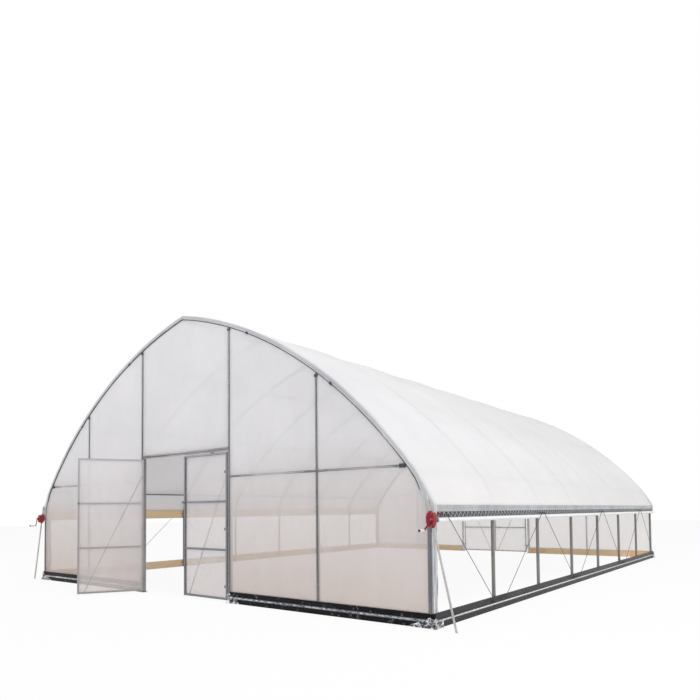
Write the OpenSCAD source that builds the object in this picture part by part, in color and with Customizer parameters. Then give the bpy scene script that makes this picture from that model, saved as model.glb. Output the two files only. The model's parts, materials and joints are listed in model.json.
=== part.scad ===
// Polytunnel greenhouse with a pointed crown, double doors at both gables and
// roll-up sides. Millimetres. X runs across, Y from the front gable to the back
// one, Z up. The origin is on the ground in the middle of the whole footprint,
// with the front leaf that stands open counted in.

/* [Hoops] */
// Distance between the two legs of a hoop, centre to centre
span = 9000; // [7000:100:10000]
// Outer diameter of the hoop tube
hoop_d = 50; // [40:1:60]
// Height where the leg starts to bend
eave_z = 1200; // [1000:50:1500]
// Radius of the bend above the leg, on the tube's centre line
bend_r = 1075; // [900:25:1300]
// Angle of the bend above the leg
bend_angle = 39; // [34:1:44]
// Radius of the long rafter bend, on the tube's centre line
rafter_r = 7575; // [6500:25:9000]
// Number of bays between hoops
bays = 7; // [7:1:7]
// Distance between neighbouring hoops
bay_length = 1720; // [1200:10:2400]

/* [Purlins] */
// Outer diameter of the purlin tubes
purlin_d = 32; // [25:1:42]
// Rafter angle of the upper purlins
upper_purlin_angle = 65.5; // [60:0.5:70]
// Rafter angle of the lower purlins
lower_purlin_angle = 51.5; // [46:0.5:56]
// Bend angle of the side purlins
side_purlin_angle = 34; // [26:1:36]

/* [Boards and channels] */
// Thickness of the base and hip boards
board_t = 38; // [25:1:50]
// Height of the baseboards
base_h = 170; // [120:5:220]
// Height of the hipboards
hip_board_h = 190; // [150:5:220]
// Height of the hipboards' lower edge
hip_board_z = 1212; // [1100:1:1300]
// Thickness of the black skirt over the baseboards
skirt_t = 3; // [1:0.5:4]
// Thickness of a locking channel
channel_t = 6; // [4:1:8]
// Height of the base channel
base_channel_h = 36; // [30:1:50]
// Height of the hip channel pair
hip_channel_h = 150; // [120:5:160]
// Width of the arch channel on each gable hoop
arch_channel_w = 40; // [30:1:45]

/* [Cover] */
// Thickness of the film sheets
film_t = 3; // [2:0.5:4]
// Clearance between the film and the hoops
film_gap = 0.3; // [0.2:0.1:1]

/* [Side curtains] */
// Diameter of the rolled-up curtain
roll_d = 54; // [44:1:60]
// Diameter of the ropes
rope_d = 8; // [4:1:8]
// Half of the distance between the two bottom rope hooks of a hoop
hook_step = 170; // [60:10:200]
// Half of the distance between the two top rope hooks of a hoop
top_hook_step = 60; // [30:10:100]
// How far the top hooks sit in front of the middle of their hoop
top_hook_shift = 100; // [0:10:150]
// How far the top hooks stand out from the hip channel
hook_reach = 66; // [64:1:90]
// Height of the top hooks
top_hook_z = 1290; // [1250:5:1340]
// Height of the bottom hooks
bottom_hook_z = 125; // [90:5:140]

/* [Gables] */
// Width of the square door posts
post_w = 50; // [40:1:60]
// Distance between the door posts, centre to centre
door_span = 2190; // [1800:10:2400]
// Height of the header's underside
header_z = 2280; // [2000:10:2400]
// Height of the header
header_h = 60; // [40:5:80]
// Distance between the gable posts, centre to centre
gable_post_span = 5640; // [4800:20:6400]
// Diameter of the gable posts and girts
gable_tube_d = 32; // [25:1:42]
// Height of the girts' centre line
girt_z = 1886; // [1500:1:1950]

/* [Door leaves] */
// Size of the square leaf tube
leaf_tube = 30; // [20:1:40]
// Gap between the ground and a leaf
leaf_ground_gap = 35; // [15:1:60]
// Gap between a leaf and the header
leaf_head_gap = 20; // [10:1:40]
// Half of the gap between the two leaves
leaf_meet_gap = 10; // [8:1:20]
// Distance of the hinge pin from the post
hinge_inset = 20; // [18:1:30]
// Gap between the hinge pin's axis and the leaf's edge
leaf_edge_gap = 14; // [13:1:20]
// Angle at which the left front leaf stands open
open_angle = 120; // [0:5:165]
// Diameter of a hinge pin
pin_d = 12; // [10:1:14]
// Wall of a hinge eye
eye_wall = 6; // [4:0.5:8]
// Height of a hinge eye
eye_h = 40; // [30:1:60]
// Clearance of the hinge pins and crank shafts
run_gap = 0.3; // [0.2:0.1:0.5]

/* [Winches] */
// Diameter of the guide poles
pole_d = 26; // [20:1:32]
// Height of the guide poles
pole_h = 1500; // [1440:10:1600]
// Distance of the guide poles in front of the first hoop
pole_y = 70; // [60:1:120]
// How far a guide pole leans out over its height
pole_lean = 350; // [250:10:400]
// Width of a winch housing
winch_w = 100; // [90:1:140]
// Height of a winch housing
winch_h = 155; // [130:1:210]
// Depth of a winch housing
winch_depth = 80; // [60:1:110]
// Length of the crank arm between the two axes
crank_arm = 155; // [120:1:200]
// Length of the crank's grip
grip_l = 120; // [90:1:140]

/* [Hidden] */
arc_fn = 360;
tube_fn = 48;
tiny = 0.3;
length = bays * bay_length;
leg_x = span / 2;
leg_out_x = leg_x + hoop_d / 2;
bend_x = leg_x - bend_r;
rafter_x = bend_x + (bend_r - rafter_r) * cos(bend_angle);
rafter_z = eave_z + (bend_r - rafter_r) * sin(bend_angle);
board_out_x = leg_out_x + board_t;
skirt_out_x = board_out_x + skirt_t;
side_out_x = skirt_out_x + channel_t;
gable_face = hoop_d / 2 + film_gap;
gable_out = gable_face + film_t;
// door leaves, measured from the hinge pin's axis
door_x = door_span / 2;
pin_x = door_x - post_w / 2 - hinge_inset;
leaf_w = pin_x - leaf_edge_gap - leaf_meet_gap;
leaf_h = header_z - leaf_head_gap - leaf_ground_gap;
eye_r = pin_d / 2 + run_gap + eye_wall;
eye_stand = 3;
pin_out = leaf_tube / 2 + eye_stand + eye_r;
strap_t = 5;
strap_l = 70;
rail_count = 4;
rail_step = (leaf_h - leaf_tube) / (rail_count - 1);
knob_x = leaf_edge_gap + leaf_w - leaf_tube / 2;
knob_z = leaf_ground_gap + 2 * rail_step + leaf_tube / 2;
knob_d = 34;
knob_t = 14;
knob_stem_d = 14;
knob_stand = 30;
hinge_zs = [for (k = [0 : 2]) leaf_ground_gap + leaf_tube + 150 + k * (leaf_h - 500) / 2];
open_reach = leaf_w * sin(open_angle);
front_y = (open_reach - length) / 2;
back_y = front_y + length;
hip_top = hip_board_z + hip_board_h;
hip_channel_z = hip_top + 14 - hip_channel_h;
roll_x = side_out_x + tiny + roll_d / 2;
roll_z = hip_channel_z - tiny - roll_d / 2;
// the cover leaves the hipboard's top edge and meets the bend at drop_angle
cover_r = bend_r + hoop_d / 2 + film_gap;
drop_dx = board_out_x - bend_x;
drop_dz = hip_top - eave_z;
drop_far = sqrt(drop_dx * drop_dx + drop_dz * drop_dz);
drop_angle = atan2(drop_dz, drop_dx) + acos(cover_r / drop_far);
cover_bend_steps = 6;
cover_rafter_steps = 36;
// winches and guide poles
lean = atan2(pole_lean, pole_h);
pole_foot_x = leg_x + pole_lean;
winch_z = roll_z + 10;
// the housing has the guide pole in its rear part and the roll's shaft beside it
winch_back = pole_y - 20;
winch_x = roll_x - 37;
shaft_d = 20;
shaft_stub = 8;
arm_t = 8;
right_crank_angle = 233;
left_crank_angle = 293;
COVER = "#EDECEE";
GABLE = "#D6D5D8";
STEEL = "#7E7C7C";
TIMBER = "#DEAA69";
BLACK = "#3C3C3E";
ALLOY = "#96999D";
RED = "#B01C26";
PALE = "#E4E2DC";

// ---- helpers ----

// angle that a length takes up on a circle of radius r
function arc_degrees(l, r) = l / r * 180 / PI;

// height of the rafter circle of radius r at a place x
function rafter_height(r, x) = rafter_z + sqrt(r * r - (x - rafter_x) * (x - rafter_x));

// x of the whole arch, offset by d from the centre line, at a height z
function arch_half_width(d, z) =
    z <= eave_z ? leg_x + d :
    z <= eave_z + (bend_r + d) * sin(bend_angle)
        ? bend_x + sqrt(pow(bend_r + d, 2) - pow(z - eave_z, 2))
        : rafter_x + sqrt(pow(rafter_r + d, 2) - pow(z - rafter_z, 2));

module both_sides() {
    children();
    mirror([1, 0, 0]) children();
}

// faces the back gable: the same pieces turned round
module at_back() {
    translate([0, back_y, 0]) rotate([0, 0, 180]) children();
}

module at_front() {
    translate([0, front_y, 0]) children();
}

// turns a profile about a centre in the XZ plane; the profile's X is the radius
module arc(centre_x, centre_z, from_angle, to_angle) {
    translate([centre_x, 0, centre_z]) rotate([90, -from_angle, 0])
        rotate_extrude(angle = to_angle - from_angle, $fn = arc_fn) children();
}

// the right half of an arch from a start height or bend angle up to the crown,
// drawn from one profile, with a gap where the bend and the rafter meet
module half_arch(from_z, from_angle, joint_gap) {
    rafter_from = bend_angle + arc_degrees(joint_gap, rafter_r);
    if (from_z < eave_z)
        translate([leg_x, 0, from_z]) linear_extrude(eave_z - from_z) mirror([0, 1]) children(0);
    arc(bend_x, eave_z, from_angle, bend_angle) translate([bend_r, 0]) children(0);
    right_half() arc(rafter_x, rafter_z, rafter_from, 90) translate([rafter_r, 0]) children(0);
}

// keeps what lies right of the middle
module right_half() {
    intersection() {
        children();
        translate([0, -length - span, 0]) cube([span, 2 * (length + span), span]);
    }
}

module rod(from, to, d) {
    v = to - from;
    flat = sqrt(v[0] * v[0] + v[1] * v[1]);
    translate(from) rotate([0, atan2(flat, v[2]), atan2(v[1], v[0])])
        cylinder(h = norm(v), d = d, $fn = 24);
}

// ---- hoops and purlins ----

// legs and bends in one tube, the rafter tube pushed over it on a spigot
module hoop(index) {
    joint_gap = 2;
    spigot_d = hoop_d - 6;
    spigot_half = arc_degrees(60, rafter_r);
    color(STEEL) translate([0, front_y + (index - 1) * bay_length, 0]) both_sides() {
        half_arch(0, 0, joint_gap) circle(d = hoop_d, $fn = tube_fn);
        arc(rafter_x, rafter_z, bend_angle - spigot_half, bend_angle + spigot_half)
            translate([rafter_r, 0]) circle(d = spigot_d, $fn = tube_fn);
    }
}

module long_tube(x, z) {
    translate([x, front_y - hoop_d / 2, z]) rotate([-90, 0, 0])
        cylinder(h = length + hoop_d, d = purlin_d, $fn = tube_fn);
}

module ridge_purlin() {
    slope = asin(-rafter_x / rafter_r);
    color(STEEL) long_tube(0, rafter_height(rafter_r - hoop_d / 2, 0)
        - (purlin_d / 2 + tiny) / cos(slope));
}

module rafter_purlins(angle) {
    r = rafter_r - hoop_d / 2 - purlin_d / 2 - tiny;
    color(STEEL) both_sides() long_tube(rafter_x + r * cos(angle), rafter_z + r * sin(angle));
}

module side_purlins() {
    r = bend_r - hoop_d / 2 - purlin_d / 2 - tiny;
    color(STEEL) both_sides()
        long_tube(bend_x + r * cos(side_purlin_angle), eave_z + r * sin(side_purlin_angle));
}

// ---- boards, skirts and channels ----

module side_baseboards() {
    color(TIMBER) both_sides() translate([leg_out_x, front_y - gable_face, 0])
        cube([board_t, length + 2 * gable_face, base_h]);
}

module hipboards() {
    color(TIMBER) both_sides() translate([leg_out_x, front_y - gable_face, hip_board_z])
        cube([board_t, length + 2 * gable_face, hip_board_h]);
}

// boards between the posts of a gable
module gable_boards() {
    post_r = gable_tube_d / 2;
    post_x = gable_post_span / 2;
    inner_x = door_x + post_w / 2;
    color(TIMBER) both_sides() {
        translate([inner_x, -hoop_d / 2, 0])
            cube([post_x - post_r - tiny - inner_x, board_t, base_h]);
        translate([post_x + post_r + tiny, -hoop_d / 2, 0])
            cube([leg_x - hoop_d / 2 - post_x - post_r - 2 * tiny, board_t, base_h]);
    }
}

module base_skirts() {
    color(BLACK) {
        both_sides() translate([board_out_x, front_y - gable_out, 0])
            cube([skirt_t, length + 2 * gable_out, base_h]);
        at_front() gable_skirts();
        at_back() gable_skirts();
    }
}

module gable_skirts() {
    both_sides() translate([door_x, -gable_out - skirt_t, 0])
        cube([skirt_out_x - door_x, skirt_t, base_h]);
}

module base_channels() {
    z = (base_h - base_channel_h) / 2;
    color(ALLOY) {
        both_sides() translate([skirt_out_x, front_y - gable_out, z])
            channel_bar(length + 2 * gable_out, base_channel_h);
        at_front() gable_channels(z);
        at_back() gable_channels(z);
    }
}

module gable_channels(z) {
    both_sides() translate([door_x, -gable_out - skirt_t, z]) rotate([0, 0, -90])
        channel_bar(skirt_out_x - door_x, base_channel_h);
}

// a locking channel along Y with its groove on the outer side
module channel_bar(l, h) {
    groove_t = channel_t / 2;
    groove_h = h / 2;
    difference() {
        cube([channel_t, l, h]);
        translate([channel_t - groove_t, -1, (h - groove_h) / 2])
            cube([groove_t + 1, l + 2, groove_h]);
    }
}

module hip_channels() {
    half_h = hip_channel_h / 2;
    color(ALLOY) both_sides() for (k = [0, 1])
        translate([board_out_x + film_t, front_y - gable_face, hip_channel_z + k * half_h])
            channel_bar(length + 2 * gable_face, half_h);
}

module arch_channel() {
    color(ALLOY) both_sides() half_arch(base_h, 0, 2)
        translate([-arch_channel_w / 2, gable_out]) square([arch_channel_w, channel_t]);
}

// ---- side curtains and ropes ----

module curtain_roll() {
    color(PALE) translate([roll_x, front_y - gable_out - shaft_stub, roll_z]) rotate([-90, 0, 0])
        cylinder(h = length + 2 * gable_out + shaft_stub, d = roll_d, $fn = tube_fn);
}

// zigzag rope: two hooks at each hoop, high at odd hoops and low at even ones
module side_ropes() {
    top_x = board_out_x + film_t + channel_t + hook_reach;
    low_x = side_out_x + 20;
    hooks = [for (i = [0 : bays]) for (s = [-1, 1])
        if ((i > 0 || s > 0) && (i < bays || s < 0))
            i % 2 == 0
                ? [top_x, front_y + i * bay_length + s * top_hook_step
                    - (i > 0 ? top_hook_shift : -top_hook_shift), top_hook_z]
                : [low_x, front_y + i * bay_length + s * hook_step, bottom_hook_z]];
    color(PALE) for (i = [0 : len(hooks) - 2]) rod(hooks[i], hooks[i + 1], rope_d);
    color(PALE) for (h = hooks) {
        face_x = h[2] == top_hook_z ? board_out_x + film_t + channel_t / 2 : skirt_out_x;
        translate(h) sphere(d = 2 * rope_d, $fn = 24);
        rod([face_x, h[1], h[2]], h, rope_d);
    }
}

// ---- gable frames and film ----

// posts and header have their front faces level with the hoop's
module door_frame() {
    post_top = rafter_height(rafter_r - hoop_d / 2, door_x + post_w / 2) - tiny;
    color(STEEL) {
        both_sides() translate([door_x - post_w / 2, -hoop_d / 2, 0])
            cube([post_w, post_w, post_top]);
        translate([-door_x, -hoop_d / 2, header_z]) cube([door_span, post_w, header_h]);
        both_sides() for (z = hinge_zs) pin_bracket(z);
    }
}

// plate on the post, tab in front of it and the upright pin
module pin_bracket(z) {
    plate_t = 6;
    tab_t = 8;
    translate([pin_x + hinge_inset, -hoop_d / 2 - plate_t, z - tab_t - run_gap])
        cube([post_w / 2, plate_t, eye_h]);
    translate([pin_x - eye_r, -pin_out - eye_r, z - tab_t - run_gap])
        cube([eye_r + hinge_inset + post_w / 4, pin_out + eye_r - hoop_d / 2, tab_t]);
    translate([pin_x, -pin_out, z - tab_t - run_gap])
        cylinder(h = eye_h + tab_t + 6, d = pin_d, $fn = tube_fn);
}

module gable_frame() {
    post_x = gable_post_span / 2;
    post_top = rafter_height(rafter_r - hoop_d / 2, post_x + gable_tube_d / 2) - tiny;
    girt_in = door_x + post_w / 2;
    girt_out = arch_half_width(-hoop_d / 2, girt_z + gable_tube_d / 2) - tiny;
    color(STEEL) both_sides() {
        translate([post_x, 0, 0]) cylinder(h = post_top, d = gable_tube_d, $fn = tube_fn);
        translate([girt_in, 0, girt_z]) rotate([0, 90, 0])
            cylinder(h = girt_out - girt_in, d = gable_tube_d, $fn = tube_fn);
    }
}

// points of the right half of the arch, d outside the hoop's centre line
function arch_leg(d) = [[leg_x + d, 0], [leg_x + d, eave_z]];
function arch_bend(d) =
    [for (k = [1 : cover_bend_steps]) bend_point(bend_r + d, k * bend_angle / cover_bend_steps)];
function arch_rafter(d, from_angle, to_angle) =
    [for (k = [1 : cover_rafter_steps])
        rafter_point(rafter_r + d, from_angle + k * (to_angle - from_angle) / cover_rafter_steps)];
function rafter_angle(d, x) = acos((x - rafter_x) / (rafter_r + d));
function rafter_point(r, angle) = [rafter_x + r * cos(angle), rafter_z + r * sin(angle)];
function bend_point(r, angle) = [bend_x + r * cos(angle), eave_z + r * sin(angle)];

module gable_sheet() {
    translate([0, -gable_face, 0]) rotate([90, 0, 0]) linear_extrude(film_t) children();
}

module film_beside_door() {
    d = hoop_d / 2;
    color(GABLE) gable_sheet() polygon(concat([[door_x, 0]], arch_leg(d), arch_bend(d),
        arch_rafter(d, bend_angle, rafter_angle(d, door_x))));
}

module film_over_door() {
    d = hoop_d / 2;
    z = header_z + header_h / 2;
    door_angle = rafter_angle(d, door_x);
    color(GABLE) gable_sheet() polygon(whole_line(concat(
        [[door_x, z], rafter_point(rafter_r + d, door_angle)],
        arch_rafter(d, door_angle, rafter_angle(d, 0)))));
}

// right half of the cover's inner line, or of its outer one t further out: up
// the hipboard's face, straight to the bend, round the hoop and up to the crown.
// Short straight steps stand just clear of the hoop's true curve.
function cover_line(t) =
    let (bend_step = (bend_angle - drop_angle) / cover_bend_steps,
        crown_angle = acos(-rafter_x / (rafter_r + hoop_d / 2)),
        rafter_step = (crown_angle - bend_angle) / cover_rafter_steps,
        bend_out = (cover_r + t) / cos(bend_step / 2),
        rafter_out = (rafter_r + hoop_d / 2 + film_gap + t) / cos(rafter_step / 2))
    concat(
        [[board_out_x + t, hip_channel_z], [board_out_x + t, hip_top]],
        [for (k = [0 : cover_bend_steps - 1]) bend_point(bend_out, drop_angle + k * bend_step)],
        [for (k = [0 : cover_rafter_steps - 1]) rafter_point(rafter_out, bend_angle + k * rafter_step)],
        [[0, rafter_height(rafter_out, 0)]]);

function reversed(line) = [for (k = [len(line) - 1 : -1 : 0]) line[k]];

// from one hipboard over the crown to the other
function whole_line(half) =
    concat(half, [for (k = [len(half) - 2 : -1 : 0]) [-half[k][0], half[k][1]]]);

module roof_cover() {
    section = concat(whole_line(cover_line(0)), reversed(whole_line(cover_line(film_t))));
    color(COVER) translate([0, back_y + gable_out, 0]) rotate([90, 0, 0])
        linear_extrude(length + 2 * gable_out) polygon(section);
}

// ---- door leaves ----

// places a leaf drawn from its pin towards +X; side 1 hangs on the right post
module on_pin(side, angle) {
    mirror([side, 0, 0]) translate([-pin_x, -pin_out, 0]) rotate([0, 0, -angle]) children();
}

module leaf() {
    y = pin_out - leaf_tube / 2;
    stile_x = [leaf_edge_gap, leaf_edge_gap + leaf_w - leaf_tube];
    color(STEEL) {
        for (x = stile_x) translate([x, y, leaf_ground_gap]) cube([leaf_tube, leaf_tube, leaf_h]);
        for (k = [0 : rail_count - 1])
            translate([leaf_edge_gap, y, leaf_ground_gap + k * rail_step])
                cube([leaf_w, leaf_tube, leaf_tube]);
        for (z = hinge_zs) hinge_eye(z, y);
    }
    color(BLACK) leaf_knob(y);
}

// eye, strap on the leaf's outer face and the web beside the stile
module hinge_eye(z, y) {
    web_t = 4;
    difference() {
        union() {
            translate([0, 0, z]) cylinder(h = eye_h, r = eye_r, $fn = tube_fn);
            translate([0, y - strap_t, z]) cube([strap_l, strap_t, eye_h]);
            translate([leaf_edge_gap - web_t, y - strap_t, z])
                cube([web_t, strap_t + leaf_tube / 2, eye_h]);
        }
        translate([0, 0, z - 1]) cylinder(h = eye_h + 2, r = pin_d / 2 + run_gap, $fn = tube_fn);
    }
}

// a stem through the free stile with a round knob at both ends
module leaf_knob(y) {
    stem_l = leaf_tube + 2 * knob_stand;
    translate([knob_x, y - knob_stand, knob_z]) rotate([-90, 0, 0]) {
        cylinder(h = stem_l, d = knob_stem_d, $fn = tube_fn);
        for (far = [-knob_t, stem_l]) translate([0, 0, far]) cylinder(h = knob_t, d = knob_d, $fn = tube_fn);
    }
}

// film on the inner face, with a hole round the knob's stem
module leaf_film() {
    y = pin_out + leaf_tube / 2;
    color(GABLE) difference() {
        translate([leaf_edge_gap, y, leaf_ground_gap]) cube([leaf_w, film_t, leaf_h]);
        translate([knob_x, y - 1, knob_z]) rotate([-90, 0, 0])
            cylinder(h = film_t + 2, d = knob_stem_d + 2 * tiny, $fn = tube_fn);
    }
}

// ---- winches, cranks and guide poles ----

module guide_pole() {
    color(PALE) {
        difference() {
            translate([pole_foot_x, -pole_y, 0]) rotate([0, -lean, 0]) translate([0, 0, -pole_d])
                cylinder(h = pole_h / cos(lean) + pole_d, d = pole_d, $fn = tube_fn);
            translate([pole_foot_x - span / 2, -pole_y - span / 2, -span]) cube([span, span, span]);
        }
        pole_bracket();
    }
}

// angle bracket from the arch channel to the top of the pole
module pole_bracket() {
    z = pole_h - 70;
    face_y = gable_out + channel_t;
    pole_x = pole_foot_x - pole_lean * z / pole_h;
    channel_x = arch_half_width(0, z);
    translate([channel_x - 10, -face_y - 4, z]) cube([pole_x - channel_x + 10, 4, 30]);
    translate([pole_x - 4, -pole_y, z]) cube([4, pole_y - face_y, 30]);
}

// eight-sided front of the housing, narrower at its foot
function winch_outline() =
    let (w = winch_w / 2, h = winch_h / 2,
        right = [[0.7 * w, -h], [w, -0.35 * h], [w, 0.4 * h], [0.75 * w, h]])
    concat(right, [for (k = [3 : -1 : 0]) [-right[k][0], right[k][1]]]);

module winch() {
    color(RED) difference() {
        union() {
            translate([winch_x, -winch_back, winch_z]) rotate([90, 0, 0])
                linear_extrude(winch_depth) polygon(winch_outline());
            translate([roll_x, -winch_back, roll_z]) rotate([-90, 0, 0])
                cylinder(h = winch_back - gable_out - shaft_stub, d = shaft_d, $fn = tube_fn);
            translate([roll_x, -winch_back - winch_depth, winch_z]) rotate([90, 0, 0])
                cylinder(h = 12, d = 26, $fn = tube_fn);
        }
        translate([pole_foot_x, -pole_y, 0]) rotate([0, -lean, 0])
            cylinder(h = 2 * pole_h, d = pole_d + 2 * tiny, $fn = tube_fn);
        translate([roll_x, -winch_back - winch_depth + 20, winch_z]) rotate([90, 0, 0])
            cylinder(h = 60, d = shaft_d + 2 * run_gap, $fn = tube_fn);
    }
}

// shaft in the winch, arm in front of it and the grip at its end
module crank(angle) {
    face_y = -winch_back - winch_depth - 12 - 6;
    translate([roll_x, 0, winch_z]) {
        color(RED) {
            translate([0, face_y + 6 + 12 + 15, 0]) rotate([90, 0, 0])
                cylinder(h = 6 + 12 + 15 + arm_t, d = shaft_d, $fn = tube_fn);
            rotate([0, -angle, 0]) {
                translate([0, face_y - arm_t, -12]) cube([crank_arm, arm_t, 24]);
                for (x = [0, crank_arm]) translate([x, face_y, 0]) rotate([90, 0, 0])
                    cylinder(h = arm_t, d = 30, $fn = tube_fn);
            }
        }
        color(PALE) rotate([0, -angle, 0]) translate([crank_arm, face_y - arm_t, 0]) rotate([90, 0, 0])
            cylinder(h = grip_l, d = 28, $fn = tube_fn);
    }
}

// ---- nodes ----

hoop(1);  // hoop_1
hoop(2);  // hoop_2
hoop(3);  // hoop_3
hoop(4);  // hoop_4
hoop(5);  // hoop_5
hoop(6);  // hoop_6
hoop(7);  // hoop_7
hoop(8);  // hoop_8
ridge_purlin();
rafter_purlins(upper_purlin_angle);  // upper_purlins
rafter_purlins(lower_purlin_angle);  // lower_purlins
side_purlins();
side_baseboards();
at_front() gable_boards();  // front_baseboards
at_back() gable_boards();  // back_baseboards
hipboards();
base_skirts();
base_channels();
hip_channels();
mirror([1, 0, 0]) curtain_roll();  // left_curtain_roll
curtain_roll();  // right_curtain_roll
mirror([1, 0, 0]) side_ropes();  // left_ropes
side_ropes();  // right_ropes
at_front() door_frame();  // front_door_frame
at_back() door_frame();  // back_door_frame
at_front() gable_frame();  // front_gable_frame
at_back() gable_frame();  // back_gable_frame
at_front() arch_channel();  // front_arch_channel
at_back() arch_channel();  // back_arch_channel
roof_cover();
at_front() mirror([1, 0, 0]) film_beside_door();  // front_film_left
at_front() film_beside_door();  // front_film_right
at_front() film_over_door();  // front_film_over_door
at_back() film_beside_door();  // back_film_left
at_back() mirror([1, 0, 0]) film_beside_door();  // back_film_right
at_back() film_over_door();  // back_film_over_door
at_front() on_pin(0, open_angle) leaf();  // front_left_leaf
at_front() on_pin(1, 0) leaf();  // front_right_leaf
at_back() on_pin(1, 0) leaf();  // back_left_leaf
at_back() on_pin(0, 0) leaf();  // back_right_leaf
at_front() on_pin(0, open_angle) leaf_film();  // front_left_leaf_film
at_front() on_pin(1, 0) leaf_film();  // front_right_leaf_film
at_back() on_pin(1, 0) leaf_film();  // back_left_leaf_film
at_back() on_pin(0, 0) leaf_film();  // back_right_leaf_film
at_front() mirror([1, 0, 0]) winch();  // left_winch
at_front() winch();  // right_winch
at_front() mirror([1, 0, 0]) crank(left_crank_angle);  // left_crank
at_front() crank(right_crank_angle);  // right_crank
at_front() both_sides() guide_pole();  // guide_poles
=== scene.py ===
# Polytunnel greenhouse: finishes, films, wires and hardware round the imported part. Metres, Z up.
import json
import math

import bmesh
import bpy
from mathutils import Matrix, Vector, noise


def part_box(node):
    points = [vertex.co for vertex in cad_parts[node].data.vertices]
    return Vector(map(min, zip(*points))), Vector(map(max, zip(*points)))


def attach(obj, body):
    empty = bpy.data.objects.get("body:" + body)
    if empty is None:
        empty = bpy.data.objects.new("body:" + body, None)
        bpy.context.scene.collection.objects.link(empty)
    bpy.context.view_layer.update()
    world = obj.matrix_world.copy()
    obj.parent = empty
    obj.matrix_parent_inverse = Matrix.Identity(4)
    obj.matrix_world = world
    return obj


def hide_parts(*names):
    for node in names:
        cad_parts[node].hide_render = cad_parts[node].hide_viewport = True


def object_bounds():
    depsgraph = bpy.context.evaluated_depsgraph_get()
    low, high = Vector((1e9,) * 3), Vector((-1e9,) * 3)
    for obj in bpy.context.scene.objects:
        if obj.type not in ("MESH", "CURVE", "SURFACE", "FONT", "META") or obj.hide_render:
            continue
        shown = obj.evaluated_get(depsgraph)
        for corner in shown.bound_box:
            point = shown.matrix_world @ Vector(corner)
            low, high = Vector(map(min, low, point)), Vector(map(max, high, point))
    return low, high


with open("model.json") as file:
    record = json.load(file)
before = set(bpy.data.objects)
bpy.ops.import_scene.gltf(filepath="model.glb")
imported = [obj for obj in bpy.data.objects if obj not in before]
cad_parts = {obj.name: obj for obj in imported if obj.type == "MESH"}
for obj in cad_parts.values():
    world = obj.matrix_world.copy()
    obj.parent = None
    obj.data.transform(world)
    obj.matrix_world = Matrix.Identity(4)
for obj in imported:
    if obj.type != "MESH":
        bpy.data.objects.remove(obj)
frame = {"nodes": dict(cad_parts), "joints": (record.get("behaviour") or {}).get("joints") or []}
cadLow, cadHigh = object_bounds()
print("stage: frame loaded")

camera = {
    "place": (7.9611, -11.6803, 1.3582),
    "turnLeft": 37.618,  # degrees from +Y
    "lookUp": 2.083,
    "roll": -0.541,
    "lens": 30.987,
    "shift": (0.00793, 0.19805),
}


def makeCamera():
    data = bpy.data.cameras.new("camera")
    data.sensor_width = 36
    data.lens = camera["lens"]
    data.shift_x, data.shift_y = camera["shift"]
    data.clip_end = 200
    eye = bpy.data.objects.new("camera", data)
    bpy.context.scene.collection.objects.link(eye)
    turn = Matrix.Rotation(math.radians(camera["turnLeft"]), 4, "Z")
    lift = Matrix.Rotation(math.radians(90 + camera["lookUp"]), 4, "X")
    roll = Matrix.Rotation(math.radians(camera["roll"]), 4, "Z")
    eye.matrix_world = Matrix.Translation(camera["place"]) @ turn @ lift @ roll
    bpy.context.scene.camera = eye


studio = {
    "skyLevel": 0.62,  # what the world gives the object
    "lamps": {
        "key_lamp": {"place": (16, -9, 17), "size": 9, "watts": 2020},
        "fill_lamp": {"place": (-13, -17, 9), "size": 10, "watts": 900},
        "end_lamp": {"place": (15, 13, 13), "size": 8, "watts": 520},
    },
    "floorSize": 60,
    "floorDepth": 0.001,  # how far the floor lies under the boards
    "floorPaint": (0.88, 0.88, 0.88, 1),
    "floorShare": 0.9,  # how much of the floor's look is plain white, the rest keeps the shadow
}


def linear(text):
    # sRGB hex to the linear colour that Blender works in
    parts = [int(text[i : i + 2], 16) / 255 for i in (1, 3, 5)]
    return tuple(p / 12.92 if p <= 0.04045 else ((p + 0.055) / 1.055) ** 2.4 for p in parts) + (1,)


def addNode(tree, kind, inputs=None, **settings):
    # each input is given a number, a hex colour or another node's output
    node = tree.nodes.new(kind)
    for name, value in settings.items():
        setattr(node, name, value)
    for name, value in (inputs or {}).items():
        if isinstance(value, bpy.types.NodeSocket):
            tree.links.new(value, node.inputs[name])
        else:
            node.inputs[name].default_value = linear(value) if isinstance(value, str) else value
    return node


def seenRays(tree):
    # 1 for what the eye sees directly, in a mirror or through glass
    rays = addNode(tree, "ShaderNodeLightPath").outputs
    first = {0: rays["Is Camera Ray"], 1: rays["Is Glossy Ray"]}
    first = addNode(tree, "ShaderNodeMath", first, operation="ADD")
    both = {0: first.outputs[0], 1: rays["Is Transmission Ray"]}
    return addNode(tree, "ShaderNodeMath", both, operation="ADD", use_clamp=True).outputs[0]


def makeWorld():
    world = bpy.data.worlds.new("studio")
    bpy.context.scene.world = world
    world.use_nodes = True
    tree = world.node_tree
    tree.nodes.clear()
    level = {"Value": seenRays(tree), "To Min": studio["skyLevel"], "To Max": 1.0}
    level = addNode(tree, "ShaderNodeMapRange", level)
    sky = addNode(tree, "ShaderNodeBackground", {"Color": (1, 1, 1, 1), "Strength": level.outputs[0]})
    addNode(tree, "ShaderNodeOutputWorld", {"Surface": sky.outputs[0]})


def makeLamp(name, facts):
    data = bpy.data.lights.new(name, "AREA")
    data.shape = "DISK"
    data.size = facts["size"]
    data.energy = facts["watts"]
    lamp = bpy.data.objects.new(name, data)
    bpy.context.scene.collection.objects.link(lamp)
    lamp.location = facts["place"]
    aim = (cadLow + cadHigh) / 2 - Vector(facts["place"])
    lamp.rotation_euler = aim.to_track_quat("-Z", "Y").to_euler()


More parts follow.
